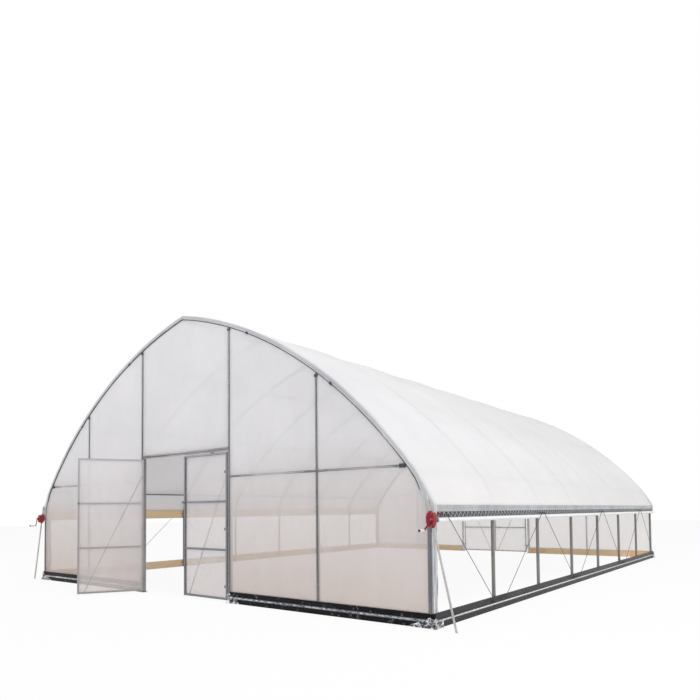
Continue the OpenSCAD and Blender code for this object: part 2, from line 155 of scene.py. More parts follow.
def makeFloor():
    half = studio["floorSize"]
    corners = [(-half, -half, 0), (half, -half, 0), (half, half, 0), (-half, half, 0)]
    mesh = bpy.data.meshes.new("studio_floor")
    mesh.from_pydata(corners, [], [(0, 1, 2, 3)])
    floor = bpy.data.objects.new("studio_floor", mesh)
    bpy.context.scene.collection.objects.link(floor)
    floor.location.z = -studio["floorDepth"]
    material, tree = newMaterial("floor_paint")
    paint = addNode(tree, "ShaderNodeBsdfDiffuse", {"Color": studio["floorPaint"]})
    plain = addNode(tree, "ShaderNodeEmission", {"Strength": 1.0})
    share = {0: seenRays(tree), 1: studio["floorShare"]}
    share = addNode(tree, "ShaderNodeMath", share, operation="MULTIPLY")
    mixed = {0: share.outputs[0], 1: paint.outputs[0], 2: plain.outputs[0]}
    mixed = addNode(tree, "ShaderNodeMixShader", mixed)
    addNode(tree, "ShaderNodeOutputMaterial", {"Surface": mixed.outputs[0]})
    mesh.materials.append(material)


def newMaterial(name):
    material = bpy.data.materials.new(name)
    material.use_nodes = True
    material.node_tree.nodes.clear()
    return material, material.node_tree


bpy.context.scene.view_settings.view_transform = "Standard"
makeCamera()
makeWorld()
for name, facts in studio["lamps"].items():
    makeLamp(name, facts)
makeFloor()
print("stage: camera, light and floor")


def place(tree, scale=(1, 1, 1)):
    # object coordinates in metres, stretched by scale
    spot = addNode(tree, "ShaderNodeTexCoord").outputs["Object"]
    return addNode(tree, "ShaderNodeMapping", {"Vector": spot, "Scale": scale}).outputs[0]


def clouds(tree, size, detail=3.0, rough=0.5, scale=(1, 1, 1)):
    # a pattern whose patches are about size metres wide
    inputs = {"Vector": place(tree, scale), "Scale": 1 / size, "Detail": detail, "Roughness": rough}
    return addNode(tree, "ShaderNodeTexNoise", inputs).outputs["Fac"]


def tint(tree, pattern, low, high, first, second, most=1.0):
    # from the first colour to most of the second one as the pattern goes from low to high
    share = {"Value": pattern, "From Min": low, "From Max": high, "To Max": most}
    share = addNode(tree, "ShaderNodeMapRange", share).outputs[0]
    return addNode(tree, "ShaderNodeMix", {0: share, 6: first, 7: second}, data_type="RGBA").outputs[2]


def openFilm(material, tree, shader, share):
    # lets a share of the light straight through a film
    clear = addNode(tree, "ShaderNodeBsdfTransparent", {"Color": (0.96, 0.96, 0.96, 1)})
    film = {0: share, 1: shader.outputs[0], 2: clear.outputs[0]}
    film = addNode(tree, "ShaderNodeMixShader", film)
    addNode(tree, "ShaderNodeOutputMaterial", {"Surface": film.outputs[0]})
    return material


# Polyethylene greenhouse film, blown and left smooth: milky, half of the light goes through it
# scattered, and a share goes straight through, so that what is close behind it shows.
# low is the film's colour towards the ground: painted shade and painted warm light reflected from the soil
filmLooks = {
    "cover": {"clean": "#EFEEF0", "dusty": "#E8E7E9", "low": "#E6E3E1", "open": 0.02, "glow": 0.22},
    "gable": {"clean": "#F8F7F9", "dusty": "#F0EFF2", "low": "#CDBDB6", "open": 0.165, "glow": 0.46},
    "leaf": {"clean": "#F1EFF2", "dusty": "#EAE7EA", "low": "#DED6D4", "open": 0.19, "glow": 0.45},
    "hem": {"clean": "#F8F8FA", "dusty": "#DADBE1", "low": "#F2F2F4", "open": 0.12, "glow": 0.34},
    "back": {"clean": "#F8F7F9", "dusty": "#F2F1F3", "low": "#EFEBE9", "open": 0.13, "glow": 0.60},
}


def makeFilm(name, looks, foldSize=0.28, foldDepth=0.004):
    material, tree = newMaterial(name)
    tone = tint(tree, clouds(tree, 0.9, 4), 0.3, 0.7, looks["clean"], looks["dusty"])
    height = addNode(tree, "ShaderNodeSeparateXYZ", {"Vector": place(tree)}).outputs["Z"]
    tone = tint(tree, height, 2.3, 0.2, tone, looks["low"])  # darker and warmer towards the ground: painted shade and painted warm light reflected from the soil
    folds = {"Vector": place(tree, (1.0, 1.0, 0.35)), "Scale": 1 / foldSize, "Detail": 4.0}
    folds.update({"Roughness": 0.55, "Distortion": 0.6})
    folds = addNode(tree, "ShaderNodeTexNoise", folds).outputs["Fac"]
    normal = {"Height": folds, "Distance": foldDepth, "Strength": 0.6}
    normal = addNode(tree, "ShaderNodeBump", normal).outputs[0]
    face = {"Base Color": tone, "Normal": normal, "Roughness": 0.38, "IOR": 1.5}
    face = addNode(tree, "ShaderNodeBsdfPrincipled", face)
    through = addNode(tree, "ShaderNodeBsdfTranslucent", {"Color": tone, "Normal": normal})
    milky = {0: looks["glow"], 1: face.outputs[0], 2: through.outputs[0]}
    milky = addNode(tree, "ShaderNodeMixShader", milky)
    uneven = {"Value": folds, "From Min": 0.3, "From Max": 0.7}
    uneven.update({"To Min": looks["open"] * 0.85, "To Max": looks["open"] * 1.15})
    uneven = addNode(tree, "ShaderNodeMapRange", uneven).outputs[0]
    # drawn thinner near the ground
    thin = {"Value": height, "From Min": 1.0, "From Max": 2.4, "To Min": 1.25, "To Max": 0.7}
    thin = addNode(tree, "ShaderNodeMapRange", thin).outputs[0]
    share = addNode(tree, "ShaderNodeMath", {0: uneven, 1: thin}, operation="MULTIPLY").outputs[0]
    return openFilm(material, tree, milky, share)


# The same film's loose ends, crushed by hand or folded over: nearly clear, with creases that catch
# the light. Creases are 1 to 3 mm wide on the real film, drawn wider so that they show.
creasedLooks = {
    "crumpled": {"light": "#F4F5F8", "dark": "#6C6F78", "apart": 0.060, "wide": 0.010, "bent": 0.09,
                 "stretch": (1, 1, 1), "open": 0.84},
    "gathered": {"light": "#E8EAEE", "dark": "#33353C", "apart": 0.050, "wide": 0.013, "bent": 0.04,
                 "stretch": (1, 1, 1.6), "open": 0.45},
    "strip": {"light": "#C9CBD1", "dark": "#83858D", "apart": 0.034, "wide": 0.013, "bent": 0.012,
              "stretch": (1, 1, 0.06), "open": 0.66},
}


def makeCreasedFilm(name, looks):
    material, tree = newMaterial(name)
    where = place(tree, looks["stretch"])
    wander = {"Vector": where, "Scale": 9.0, "Detail": 3.0}
    wander = addNode(tree, "ShaderNodeTexNoise", wander).outputs["Color"]
    push = {0: wander, "Scale": looks["bent"]}
    push = addNode(tree, "ShaderNodeVectorMath", push, operation="SCALE").outputs[0]
    where = addNode(tree, "ShaderNodeVectorMath", {0: where, 1: push}, operation="ADD").outputs[0]
    gap = {"Vector": where, "Scale": 1 / looks["apart"]}
    gap = addNode(tree, "ShaderNodeTexVoronoi", gap, feature="DISTANCE_TO_EDGE").outputs["Distance"]
    width = looks["wide"] / looks["apart"]
    crease = {"Value": gap, "From Min": width * 0.25, "From Max": width, "To Min": 1.0, "To Max": 0.0}
    crease = addNode(tree, "ShaderNodeMapRange", crease).outputs[0]
    patches = clouds(tree, 0.06, 2, 0.5, looks["stretch"])
    tone = tint(tree, patches, 0.4, 0.6, looks["light"], looks["dark"])
    normal = {"Height": crease, "Distance": 0.006, "Strength": 0.7}
    normal = addNode(tree, "ShaderNodeBump", normal).outputs[0]
    face = {"Base Color": tone, "Normal": normal, "Roughness": 0.30, "IOR": 1.5}
    face = addNode(tree, "ShaderNodeBsdfPrincipled", face)
    share = {"Value": crease, "To Min": looks["open"], "To Max": 0.04}
    share = addNode(tree, "ShaderNodeMapRange", share).outputs[0]
    return openFilm(material, tree, face, share)


def makeSolid(material, tree, tone, rough, height, depth, **own):
    # one shader for opaque finishes, with a relief of depth metres; own are more of its sockets
    normal = addNode(tree, "ShaderNodeBump", {"Height": height, "Distance": depth}).outputs[0]
    inputs = {"Base Color": tone, "Roughness": rough, "Normal": normal}
    inputs.update({"Metallic": own.get("metallic", 0.0), "Specular IOR Level": own.get("shine", 0.5)})
    if "ior" in own:
        inputs["IOR"] = own["ior"]
    if "coat" in own:
        inputs.update({"Coat Weight": own["coat"], "Coat Roughness": 0.12})
    shader = addNode(tree, "ShaderNodeBsdfPrincipled", inputs)
    addNode(tree, "ShaderNodeOutputMaterial", {"Surface": shader.outputs[0]})
    return material


def makeGalvanised(name, dark, light, spangle=0.012, rough=(0.38, 0.55)):
    # Hot-dip zinc on steel: dull grey metal, faint crystals 4 to 20 mm wide, paler where it is worn
    material, tree = newMaterial(name)
    crystals = addNode(tree, "ShaderNodeTexVoronoi", {"Vector": place(tree), "Scale": 1 / spangle})
    cell = addNode(tree, "ShaderNodeSeparateColor", {0: crystals.outputs["Color"]}).outputs[0]
    worn = {"Value": clouds(tree, 0.35, 4), "From Min": 0.35, "From Max": 0.75, "To Max": 0.55}
    worn = addNode(tree, "ShaderNodeMapRange", worn).outputs[0]
    share = {0: cell, 1: 0.45, 2: worn}
    share = addNode(tree, "ShaderNodeMath", share, operation="MULTIPLY_ADD").outputs[0]
    tone = {0: share, 6: dark, 7: light}
    tone = addNode(tree, "ShaderNodeMix", tone, data_type="RGBA").outputs[2]
    dull = {"Value": cell, "To Min": rough[0], "To Max": rough[1]}
    dull = addNode(tree, "ShaderNodeMapRange", dull).outputs[0]
    return makeSolid(material, tree, tone, dull, cell, 0.0002, metallic=1.0)


timber = {
    "pale": "#FFF4D6",
    "line": "#F9CE94",  # summer-wood lines, 4 to 9 mm apart
    "aged": "#E0A25C",
    "knot": "#7C4A22",
    "length": 2.35,  # of one board
}


def makeTimber(name, alongX):
    # Planed pine: pale yellow boards, darker lines along them, a few knots
    material, tree = newMaterial(name)
    stretch = (0.06, 1, 1) if alongX else (1, 0.06, 1)
    rings = {"Vector": place(tree, stretch), "Scale": 22.0, "Distortion": 7.0, "Detail": 2.0}
    rings["Detail Scale"] = 1.2
    rings = addNode(tree, "ShaderNodeTexWave", rings, bands_direction="Z").outputs["Fac"]
    fibre = {"Value": clouds(tree, 0.006, 3, scale=stretch), "From Min": 0.3, "From Max": 0.7}
    fibre["To Max"] = 0.35
    fibre = addNode(tree, "ShaderNodeMapRange", fibre).outputs[0]
    grain = {0: rings, 1: 0.65, 2: fibre}
    grain = addNode(tree, "ShaderNodeMath", grain, operation="MULTIPLY_ADD").outputs[0]
    tone = {0: grain, 6: timber["pale"], 7: timber["line"]}
    tone = addNode(tree, "ShaderNodeMix", tone, data_type="RGBA").outputs[2]
    # each board has a shade of its own
    along = addNode(tree, "ShaderNodeSeparateXYZ", {"Vector": place(tree)}).outputs["X" if alongX else "Y"]
    board = {0: along, 1: 1 / timber["length"], 2: 0.31}
    board = addNode(tree, "ShaderNodeMath", board, operation="MULTIPLY_ADD").outputs[0]
    board = addNode(tree, "ShaderNodeMath", {0: board}, operation="FLOOR").outputs[0]
    shade = addNode(tree, "ShaderNodeTexWhiteNoise", {"W": board}, noise_dimensions="1D").outputs["Value"]
    tone = tint(tree, shade, 0, 1, tone, timber["aged"], 0.6)
    knots = {"Vector": place(tree, (0.4, 1, 1.6) if alongX else (1, 0.4, 1.6)), "Scale": 2.2}
    knots = addNode(tree, "ShaderNodeTexVoronoi", knots).outputs["Distance"]
    share = {"Value": knots, "From Min": 0.03, "From Max": 0.055, "To Min": 0.85, "To Max": 0.0}
    share = addNode(tree, "ShaderNodeMapRange", share).outputs[0]
    tone = {0: share, 6: tone, 7: timber["knot"]}
    tone = addNode(tree, "ShaderNodeMix", tone, data_type="RGBA").outputs[2]
    return makeSolid(material, tree, tone, 0.62, grain, 0.0006)


# Black polyethylene strip stretched over the baseboards: half matt, with painted highlights along its
# creases
skirtLooks = {
    "side": {"clean": "#17181C", "dusty": "#26272B", "ridge": "#3A3B40", "crease": 0.05,
             "depth": 0.004, "shine": 0.3},
    "gable": {"clean": "#08090D", "dusty": "#17181F", "ridge": "#70737F", "crease": 0.06,
              "depth": 0.012, "shine": 0.12},
}


def makeSkirtFilm(name, looks):
    material, tree = newMaterial(name)
    creases = clouds(tree, looks["crease"], 5, 0.6, (1, 1, 0.6))
    tone = tint(tree, clouds(tree, 0.4, 3), 0.35, 0.7, looks["clean"], looks["dusty"])
    height = addNode(tree, "ShaderNodeSeparateXYZ", {"Vector": place(tree)}).outputs["Z"]
    tone = tint(tree, height, 0.095, 0.075, tone, "#0A0B0E")  # darker below the channel
    tone = tint(tree, creases, 0.58, 0.72, tone, looks["ridge"])  # painted highlight along the creases
    rough = {"Value": creases, "From Min": 0.3, "From Max": 0.7, "To Min": 0.34, "To Max": 0.55}
    rough = addNode(tree, "ShaderNodeMapRange", rough).outputs[0]
    return makeSolid(material, tree, tone, rough, creases, looks["depth"], ior=1.5, shine=looks["shine"])


def makeAlloy(name, dark, light):
    # Extruded aluminium, mill finish: die lines along its length, soft shine
    material, tree = newMaterial(name)
    lines = clouds(tree, 0.004, 2, scale=(1, 0.01, 1))
    tone = tint(tree, clouds(tree, 0.25, 3), 0.3, 0.7, dark, light)
    rough = {"Value": lines, "From Min": 0.3, "From Max": 0.7, "To Min": 0.34, "To Max": 0.5}
    rough = addNode(tree, "ShaderNodeMapRange", rough).outputs[0]
    return makeSolid(material, tree, tone, rough, lines, 0.0002, metallic=1.0)


def makeRope():
    # Braided polyester: matt, strands show as small slanting ribs
    material, tree = newMaterial("braided_polyester")
    strands = clouds(tree, 0.004, 2)
    tone = tint(tree, strands, 0.35, 0.65, "#3A3B3E", "#55565A")
    return makeSolid(material, tree, tone, 0.85, strands, 0.001)


def makeEnamel():
    # Red powder enamel over cast alloy: half gloss, faint orange peel, scuffed in patches
    material, tree = newMaterial("red_enamel")
    peel = clouds(tree, 0.003, 2)
    scuff = clouds(tree, 0.03, 5, 0.65)
    tone = tint(tree, scuff, 0.35, 0.7, "#A50F1E", "#6E0A14")
    rough = {"Value": scuff, "From Min": 0.35, "From Max": 0.7, "To Min": 0.38, "To Max": 0.55}
    rough = addNode(tree, "ShaderNodeMapRange", rough).outputs[0]
    return makeSolid(material, tree, tone, rough, peel, 0.0003, ior=1.5, coat=0.08, shine=0.3)


def makePlastic(name, dark, light, rough=0.45):
    # Moulded ABS or nylon: even colour with a fine grain
    material, tree = newMaterial(name)
    tone = {0: clouds(tree, 0.05, 2), 6: dark, 7: light}
    tone = addNode(tree, "ShaderNodeMix", tone, data_type="RGBA").outputs[2]
    return makeSolid(material, tree, tone, rough, clouds(tree, 0.0015, 2), 0.0002, ior=1.5)


finish = {
    "cover": makeFilm("polythene_cover", filmLooks["cover"]),
    "gable": makeFilm("polythene_gable", filmLooks["gable"]),
    "leaf": makeFilm("polythene_leaf", filmLooks["leaf"]),
    "back": makeFilm("polythene_back_gable", filmLooks["back"]),
    "hem": makeFilm("polythene_hem", filmLooks["hem"], 0.03, 0.006),
    "crumpled": makeCreasedFilm("polythene_crumpled", creasedLooks["crumpled"]),
    "gathered": makeCreasedFilm("polythene_gathered", creasedLooks["gathered"]),
    "strip": makeCreasedFilm("polythene_strip", creasedLooks["strip"]),
    "hoop": makeGalvanised("galvanised_hoop", "#7C7977", "#989592"),
    "frame": makeGalvanised("galvanised_frame", "#66676A", "#818286"),
    "leafTube": makeGalvanised("galvanised_leaf", "#707176", "#909197"),
    "post": makeGalvanised("galvanised_post", "#828181", "#A4A2A1"),
    "brace": makeGalvanised("galvanised_brace", "#A9A6A2", "#C8C5C1"),
    "pole": makeGalvanised("galvanised_pole", "#A3A2A0", "#CDCBC8"),
    "backFrame": makeGalvanised("galvanised_back_frame", "#B4B5B7", "#D6D7D9"),
    "bolt": makeGalvanised("zinc_bolt", "#77777A", "#A5A5A6", 0.004),
    "clip": makeGalvanised("dark_clip", "#3E3F43", "#55565A", 0.006),
    "boardAlongY": makeTimber("pine_along", False),
    "boardAlongX": makeTimber("pine_across", True),
    "skirt": makeSkirtFilm("black_skirt_film", skirtLooks["side"]),
    "gableSkirt": makeSkirtFilm("black_gable_skirt_film", skirtLooks["gable"]),
    "alloy": makeAlloy("mill_aluminium", "#ABACAF", "#C6C7C9"),
    "baseAlloy": makeAlloy("dull_aluminium", "#55575B", "#6E7074"),
    "wire": makeGalvanised("spring_wire", "#C9CBCE", "#E9EAEC", 0.02, (0.25, 0.4)),
    "rope": makeRope(),
    "enamel": makeEnamel(),
    "grip": makePlastic("pale_nylon", "#E2DFD8", "#EDEBE6"),
    "black": makePlastic("black_nylon", "#1B1B1D", "#29292B", 0.5),
    # a dark strip that paints the shade in the hip channel's lower groove
    "grooveShade": makePlastic("groove_shade_strip", "#2B2C30", "#3C3D41", 0.55),
    "roll": makePlastic("rolled_polythene", "#E6E6E8", "#F1F1F2", 0.4),
}
nodeFinish = {
    "hoop": [n for n in frame["nodes"] if n.startswith("hoop_") or n.endswith(("purlin", "purlins"))],
    "post": ["front_door_frame"],
    "frame": ["front_gable_frame", "front_arch_channel", "back_arch_channel"],
    "backFrame": ["back_door_frame", "back_gable_frame", "back_left_leaf", "back_right_leaf"],
    "boardAlongY": ["side_baseboards", "hipboards"],
    "boardAlongX": ["front_baseboards", "back_baseboards"],
    "alloy": ["hip_channels"],
    "baseAlloy": ["base_channels"],
    "skirt": ["base_skirts"],
    "leafTube": ["front_left_leaf", "front_right_leaf"],
    "leaf": [n for n in frame["nodes"] if n.endswith("_leaf_film")],
    "gable": [n for n in frame["nodes"] if "_film_" in n],
    "cover": ["roof_cover"],
    "roll": ["left_curtain_roll", "right_curtain_roll"],
    "rope": ["left_ropes", "right_ropes"],
    "enamel": ["left_winch", "right_winch", "left_crank", "right_crank"],
    "pole": ["guide_poles"],
}
for key, names in nodeFinish.items():
    for name in names:
        materials = frame["nodes"][name].data.materials
        for i in range(len(materials)):
            materials[i] = finish[key]
print("stage: materials")


def newPiece(name, mesh, material, body="root", smooth=True):
    piece = bpy.data.objects.new(name, mesh)
    bpy.context.scene.collection.objects.link(piece)
    if smooth:
        mesh.polygons.foreach_set("use_smooth", [True] * len(mesh.polygons))
    mesh.materials.append(finish[material])
    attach(piece, body)
    return piece


def sheetMesh(name, spots, rows, columns):
    faces = [
        (r * columns + c, r * columns + c + 1, (r + 1) * columns + c + 1, (r + 1) * columns + c)
        for r in range(rows - 1)
        for c in range(columns - 1)
    ]
    mesh = bpy.data.meshes.new(name)
    mesh.from_pydata(spots, [], faces)
    return mesh


def gridPiece(name, rows, columns, point, material, body="root"):
    # a sheet of rows x columns points, each given by point(row share, column share)
    spots = [point(r / (rows - 1), c / (columns - 1)) for r in range(rows) for c in range(columns)]
    return newPiece(name, sheetMesh(name, spots, rows, columns), material, body)


def emptyShape():
    return {"verts": [], "faces": []}


def addMesh(shape, verts, faces, matrix=None):
    start = len(shape["verts"])
    shape["verts"] += [tuple(matrix @ Vector(v)) if matrix else tuple(v) for v in verts]
    shape["faces"] += [tuple(start + i for i in face) for face in faces]


def addRings(shape, rings, matrix=None):
    # a skin over rings of points, with both ends closed
    n, last = len(rings[0]), len(rings) - 1
    faces = []
    for k in range(last):
        for i in range(n):
            j = (i + 1) % n
            faces.append((k * n + i, k * n + j, (k + 1) * n + j, (k + 1) * n + i))
    faces += [tuple(range(n))[::-1], tuple(last * n + i for i in range(n))]
    addMesh(shape, [point for ring in rings for point in ring], faces, matrix)


def addBlock(shape, matrix, dims, edge=0.0015):
    # a block centred on matrix with its edges broken
    half = [d / 2 for d in dims]
    edge = min([edge] + [h * 0.45 for h in half])
    signs = (-1, 1)
    corners = [(x, y, z) for x in signs for y in signs for z in signs]
    verts, spot = [], {}
    for corner in corners:
        for axis in range(3):
            spot[(*corner, axis)] = len(verts)
            reach = [h if a == axis else h - edge for a, h in enumerate(half)]
            verts.append([s * h for s, h in zip(corner, reach)])
    faces = []
    for axis in range(3):
        u, v = [a for a in range(3) if a != axis]
        for s in signs:
            ring = []
            for a, b in ((-1, -1), (1, -1), (1, 1), (-1, 1)):
                corner = [0, 0, 0]
                corner[axis], corner[u], corner[v] = s, a, b
                ring.append(spot[(*corner, axis)])
            faces.append(ring if s > 0 else ring[::-1])
        for a in signs:
            for b in signs:
                low, high = [0, 0, 0], [0, 0, 0]
                low[axis], high[axis] = -1, 1
                low[u] = high[u] = a
                low[v] = high[v] = b
                faces.append([spot[(*low, u)], spot[(*high, u)], spot[(*high, v)], spot[(*low, v)]])
    faces += [[spot[(*corner, axis)] for axis in range(3)] for corner in corners]
    addMesh(shape, verts, faces, matrix)


def addLathe(shape, matrix, profile, sides=20):
    # profile points (radius, height) turned about the matrix's Z
    turns = [2 * math.pi * i / sides for i in range(sides)]
    addRings(shape, [[(r * math.cos(a), r * math.sin(a), h) for a in turns] for r, h in profile], matrix)


def addTube(shape, points, radius, sides=6):
    # a round bar along points, with its section carried along without twist
    points = [Vector(p) for p in points]
    turns = [2 * math.pi * k / sides for k in range(sides)]
    rings, side = [], None
    for i, p in enumerate(points):
        ahead = (points[min(i + 1, len(points) - 1)] - points[max(i - 1, 0)]).normalized()
        side = (side - ahead * side.dot(ahead) if side else ahead.orthogonal()).normalized()
        other = ahead.cross(side)
        rings.append([p + (side * math.cos(a) + other * math.sin(a)) * radius for a in turns])
    addRings(shape, rings)


def addProfile(shape, profile, start, end, across, out):
    # a bar from start to end; profile points are (across, out), turning anticlockwise
    across, out = Vector(across), Vector(out)
    addRings(shape, [[Vector(p) + across * a + out * b for a, b in profile] for p in (start, end)])


def axes(origin, xAxis, zAxis):
    # a place with its X and Z along the given directions
    z = Vector(zAxis).normalized()
    x = Vector(xAxis)
    x = (x - z * x.dot(z)).normalized()
    y = z.cross(x)
    turn = Matrix((x, y, z)).transposed().to_4x4()
    return Matrix.Translation(origin) @ turn


def addBolt(shape, origin, out, size=0.010, washer=True, stick=0.0):
    # hex head on a washer at origin, facing out; stick is how far a thread shows past a nut
    out = Vector(out)
    matrix = axes(origin, out.orthogonal(), out)
    base = 0.0
    if washer:
        addLathe(shape, matrix, [(size * 1.15, 0), (size * 1.15, 0.0014), (size * 1.08, 0.002)], 20)
        base = 0.002
    flats, top = size * 0.86, base + size * 0.7
    addLathe(shape, matrix, [(flats, base), (flats, base + size * 0.62), (size * 0.74, top)], 6)
    if stick:
        addLathe(shape, matrix, [(size * 0.5, base), (size * 0.5, top + stick)], 12)


def addPrism(shape, matrix, outline, depth, edge=0.002):
    # an outline in X and Y raised along Z by depth, both rims broken by edge
    middleX = sum(x for x, y in outline) / len(outline)
    middleY = sum(y for x, y in outline) / len(outline)
    size = max(math.hypot(x - middleX, y - middleY) for x, y in outline)
    rings = []
    for k, h in ((1 - edge / size, 0), (1, edge), (1, depth - edge), (1 - edge / size, depth)):
        rings.append([(middleX + (x - middleX) * k, middleY + (y - middleY) * k, h) for x, y in outline])
    addRings(shape, rings, matrix)


def finishShape(name, shape, material, body="root", smoothAngle=35):
    mesh = bpy.data.meshes.new(name)
    mesh.from_pydata(shape["verts"], [], shape["faces"])
    outward = bmesh.new()
    outward.from_mesh(mesh)
    bmesh.ops.recalc_face_normals(outward, faces=outward.faces)
    outward.to_mesh(mesh)
    outward.free()
    mesh.update()
    piece = newPiece(name, mesh, material, body)
    mesh.set_sharp_from_angle(angle=math.radians(smoothAngle))
    return piece


arch = {
    "legX": 4.5,
    "hoopRadius": 0.025,
    "eave": 1.2,
    "bendRadius": 1.075,
    "bendAngle": math.radians(39),
    "rafterRadius": 7.575,
}
bendX = arch["legX"] - arch["bendRadius"]
rafterX = bendX + (arch["bendRadius"] - arch["rafterRadius"]) * math.cos(arch["bendAngle"])
rafterZ = arch["eave"] + (arch["bendRadius"] - arch["rafterRadius"]) * math.sin(arch["bendAngle"])
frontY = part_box("hoop_1")[0].y + arch["hoopRadius"]
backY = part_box("hoop_8")[1].y - arch["hoopRadius"]
hoops = 8
bay = (backY - frontY) / (hoops - 1)
sides = (("left", -1), ("right", 1))  # name, sign of X
ends = (("front", frontY, -1), ("back", backY, 1))  # name, place in Y, outward sign
hipLow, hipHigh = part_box("hip_channels")
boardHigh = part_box("hipboards")[1]
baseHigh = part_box("side_baseboards")[1].z


def archLine(off, lowest, step):
    # points of the right half, off metres outside the hoop's centre line: (x, z, outward x, outward z)
    line = []
    legSteps = max(1, round((arch["eave"] - lowest) / step))
    if lowest < arch["eave"]:
        for i in range(legSteps):
            line.append((arch["legX"] + off, lowest + (arch["eave"] - lowest) * i / legSteps, 1, 0))
    bendSteps = max(2, round(arch["bendRadius"] * arch["bendAngle"] / step))
    for i in range(bendSteps):
        a = arch["bendAngle"] * i / bendSteps
        r = arch["bendRadius"] + off
        line.append((bendX + r * math.cos(a), arch["eave"] + r * math.sin(a), math.cos(a), math.sin(a)))
    r = arch["rafterRadius"] + off
    crown = math.acos(-rafterX / r)
    rafterSteps = round((crown - arch["bendAngle"]) * r / step)
    for i in range(rafterSteps + 1):
        a = arch["bendAngle"] + (crown - arch["bendAngle"]) * i / rafterSteps
        line.append((rafterX + r * math.cos(a), rafterZ + r * math.sin(a), math.cos(a), math.sin(a)))
    return line


def wholeArch(off, lowest, step):
    right = archLine(off, lowest, step)
    return right + [(-x, z, -nx, nz) for x, z, nx, nz in reversed(right[:-1])]


def archHalfWidth(off, z):
    if z <= arch["eave"]:
        return arch["legX"] + off
    bendTop = arch["eave"] + (arch["bendRadius"] + off) * math.sin(arch["bendAngle"])
    if z <= bendTop:
        return bendX + math.sqrt((arch["bendRadius"] + off) ** 2 - (z - arch["eave"]) ** 2)
    return rafterX + math.sqrt(max(0.0, (arch["rafterRadius"] + off) ** 2 - (z - rafterZ) ** 2))


def archHeight(off, x):
    return rafterZ + math.sqrt((arch["rafterRadius"] + off) ** 2 - (abs(x) - rafterX) ** 2)


def ripple(x, y, z, seed=0.0):
    # smooth noise from -1 to 1
    return noise.noise(Vector((x, y, z + seed * 17.3)))


def inBays(y):
    # how many bays from the front hoop a place is
    return min(max((y - frontY) / bay, 0), hoops - 1)


roof = {
    "overHoop": 0.0268,  # the film's own line, outside the hoop's centre line
    "step": 0.06,
    "sag": 0.016,  # the film is drawn in between two hoops
    "onHoop": 0.055,  # how far to each side of a hoop it lies on it
    "pucker": 0.005,  # folds above the hip channel
    "puckerHeight": 0.75,
    "puckerWidth": 0.13,
    "slantFold": 0.0022,  # long folds across a bay
    "freeRise": 0.15,  # how far above the hipboard it is free to sag
    "overEnd": 0.028,  # past the end hoops
    "offBoard": 0.0015,
}
roofFace = boardHigh.x + roof["offBoard"]


def meetBend():
    # the film goes up the hipboard, then straight to where it touches the bend: x, z and angle
    r = arch["bendRadius"] + roof["overHoop"]
    run, rise = roofFace - bendX, boardHigh.z - arch["eave"]
    angle = math.atan2(rise, run) + math.acos(r / math.hypot(run, rise))
    return bendX + r * math.cos(angle), arch["eave"] + r * math.sin(angle), angle


def makeRoofFilm():
    meetX, meetZ, meetAngle = meetBend()
    line = [(roofFace, hipLow.z + 0.005, 1, 0), (roofFace, boardHigh.z, 1, 0)]
    steps = max(2, round(math.hypot(meetX - roofFace, meetZ - boardHigh.z) / roof["step"]))
    for i in range(1, steps):
        s = i / steps
        x, z = roofFace + (meetX - roofFace) * s, boardHigh.z + (meetZ - boardHigh.z) * s
        line.append((x, z, math.cos(meetAngle), math.sin(meetAngle)))
    for x, z, nx, nz in archLine(roof["overHoop"], arch["eave"] + 0.001, roof["step"]):
        if math.atan2(nz, nx) >= meetAngle:
            line.append((x, z, nx, nz))
    line = line + [(-x, z, -nx, nz) for x, z, nx, nz in reversed(line[:-1])]
    y0, y1 = frontY - roof["overEnd"], backY + roof["overEnd"]
    columns = round((y1 - y0) / roof["step"])
    verts = []
    for x, z, nx, nz in line:
        climb = max(0.0, z - boardHigh.z)
        held = min(1.0, climb / roof["freeRise"])
        low = math.exp(-climb / (roof["puckerHeight"] / 2.2)) * min(1.0, climb / 0.04)
        for c in range(columns + 1):
            y = y0 + (y1 - y0) * c / columns
            inBay = inBays(y) % 1
            free = min(max((inBay * bay - roof["onHoop"]) / (bay - 2 * roof["onHoop"]), 0), 1)
            sag = roof["sag"] * (math.sin(math.pi * free) ** 0.8) * held
            fold = roof["pucker"] * low * ripple(y / roof["puckerWidth"], z * 0.9, 0, x > 0)
            if min(inBay, 1 - inBay) * bay < roof["onHoop"] + 0.01 or not frontY < y < backY:
                fold = max(fold, 0.0)  # a hoop holds it out
            cross = roof["slantFold"] * held * math.sin(math.pi * inBay)
            cross *= ripple(y * 2.1 + z * 1.3, z * 2.4, 3, x > 0)
            out = -sag + fold + cross
            verts.append((x + nx * out, y, z + nz * out))
    mesh = sheetMesh("roof_film", verts, len(line), columns + 1)
    film = newPiece("roof_film", mesh, "cover")
    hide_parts("roof_cover")


makeRoofFilm()
print("stage: roof film")

gable = {
    "off": 0.0268,  # the film's own plane, in front of the hoop's
    "doorX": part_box("front_film_right")[0].x,  # middle of a door post
    "postX": 2.82,  # middle of a gable post
    "headerMiddle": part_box("front_film_over_door")[0].z,
    "step": 0.04,
    "pillow": 0.012,  # how far the film swells between its posts
    "wrinkle": 0.004,
    "ease": 0.35,  # over this height it swells to its full depth
}


def filmSwell(x, z, top):
    # how far the gable film stands out at a place: none where it is clamped
    a = abs(x)
    if a < gable["doorX"]:
        u = (x + gable["doorX"]) / (2 * gable["doorX"])
    else:
        inside, outside = gable["doorX"], gable["postX"]
        if a >= gable["postX"]:
            inside, outside = gable["postX"], archHalfWidth(0, z)
        u = (a - inside) / max(outside - inside, 0.01)
    u = min(max(u, 0), 1)
    w = min(max((z - baseHigh) / gable["ease"], 0), 1) * min(max((top - z) / gable["ease"], 0), 1)
    return math.sin(math.pi * u) ** 0.7 * w


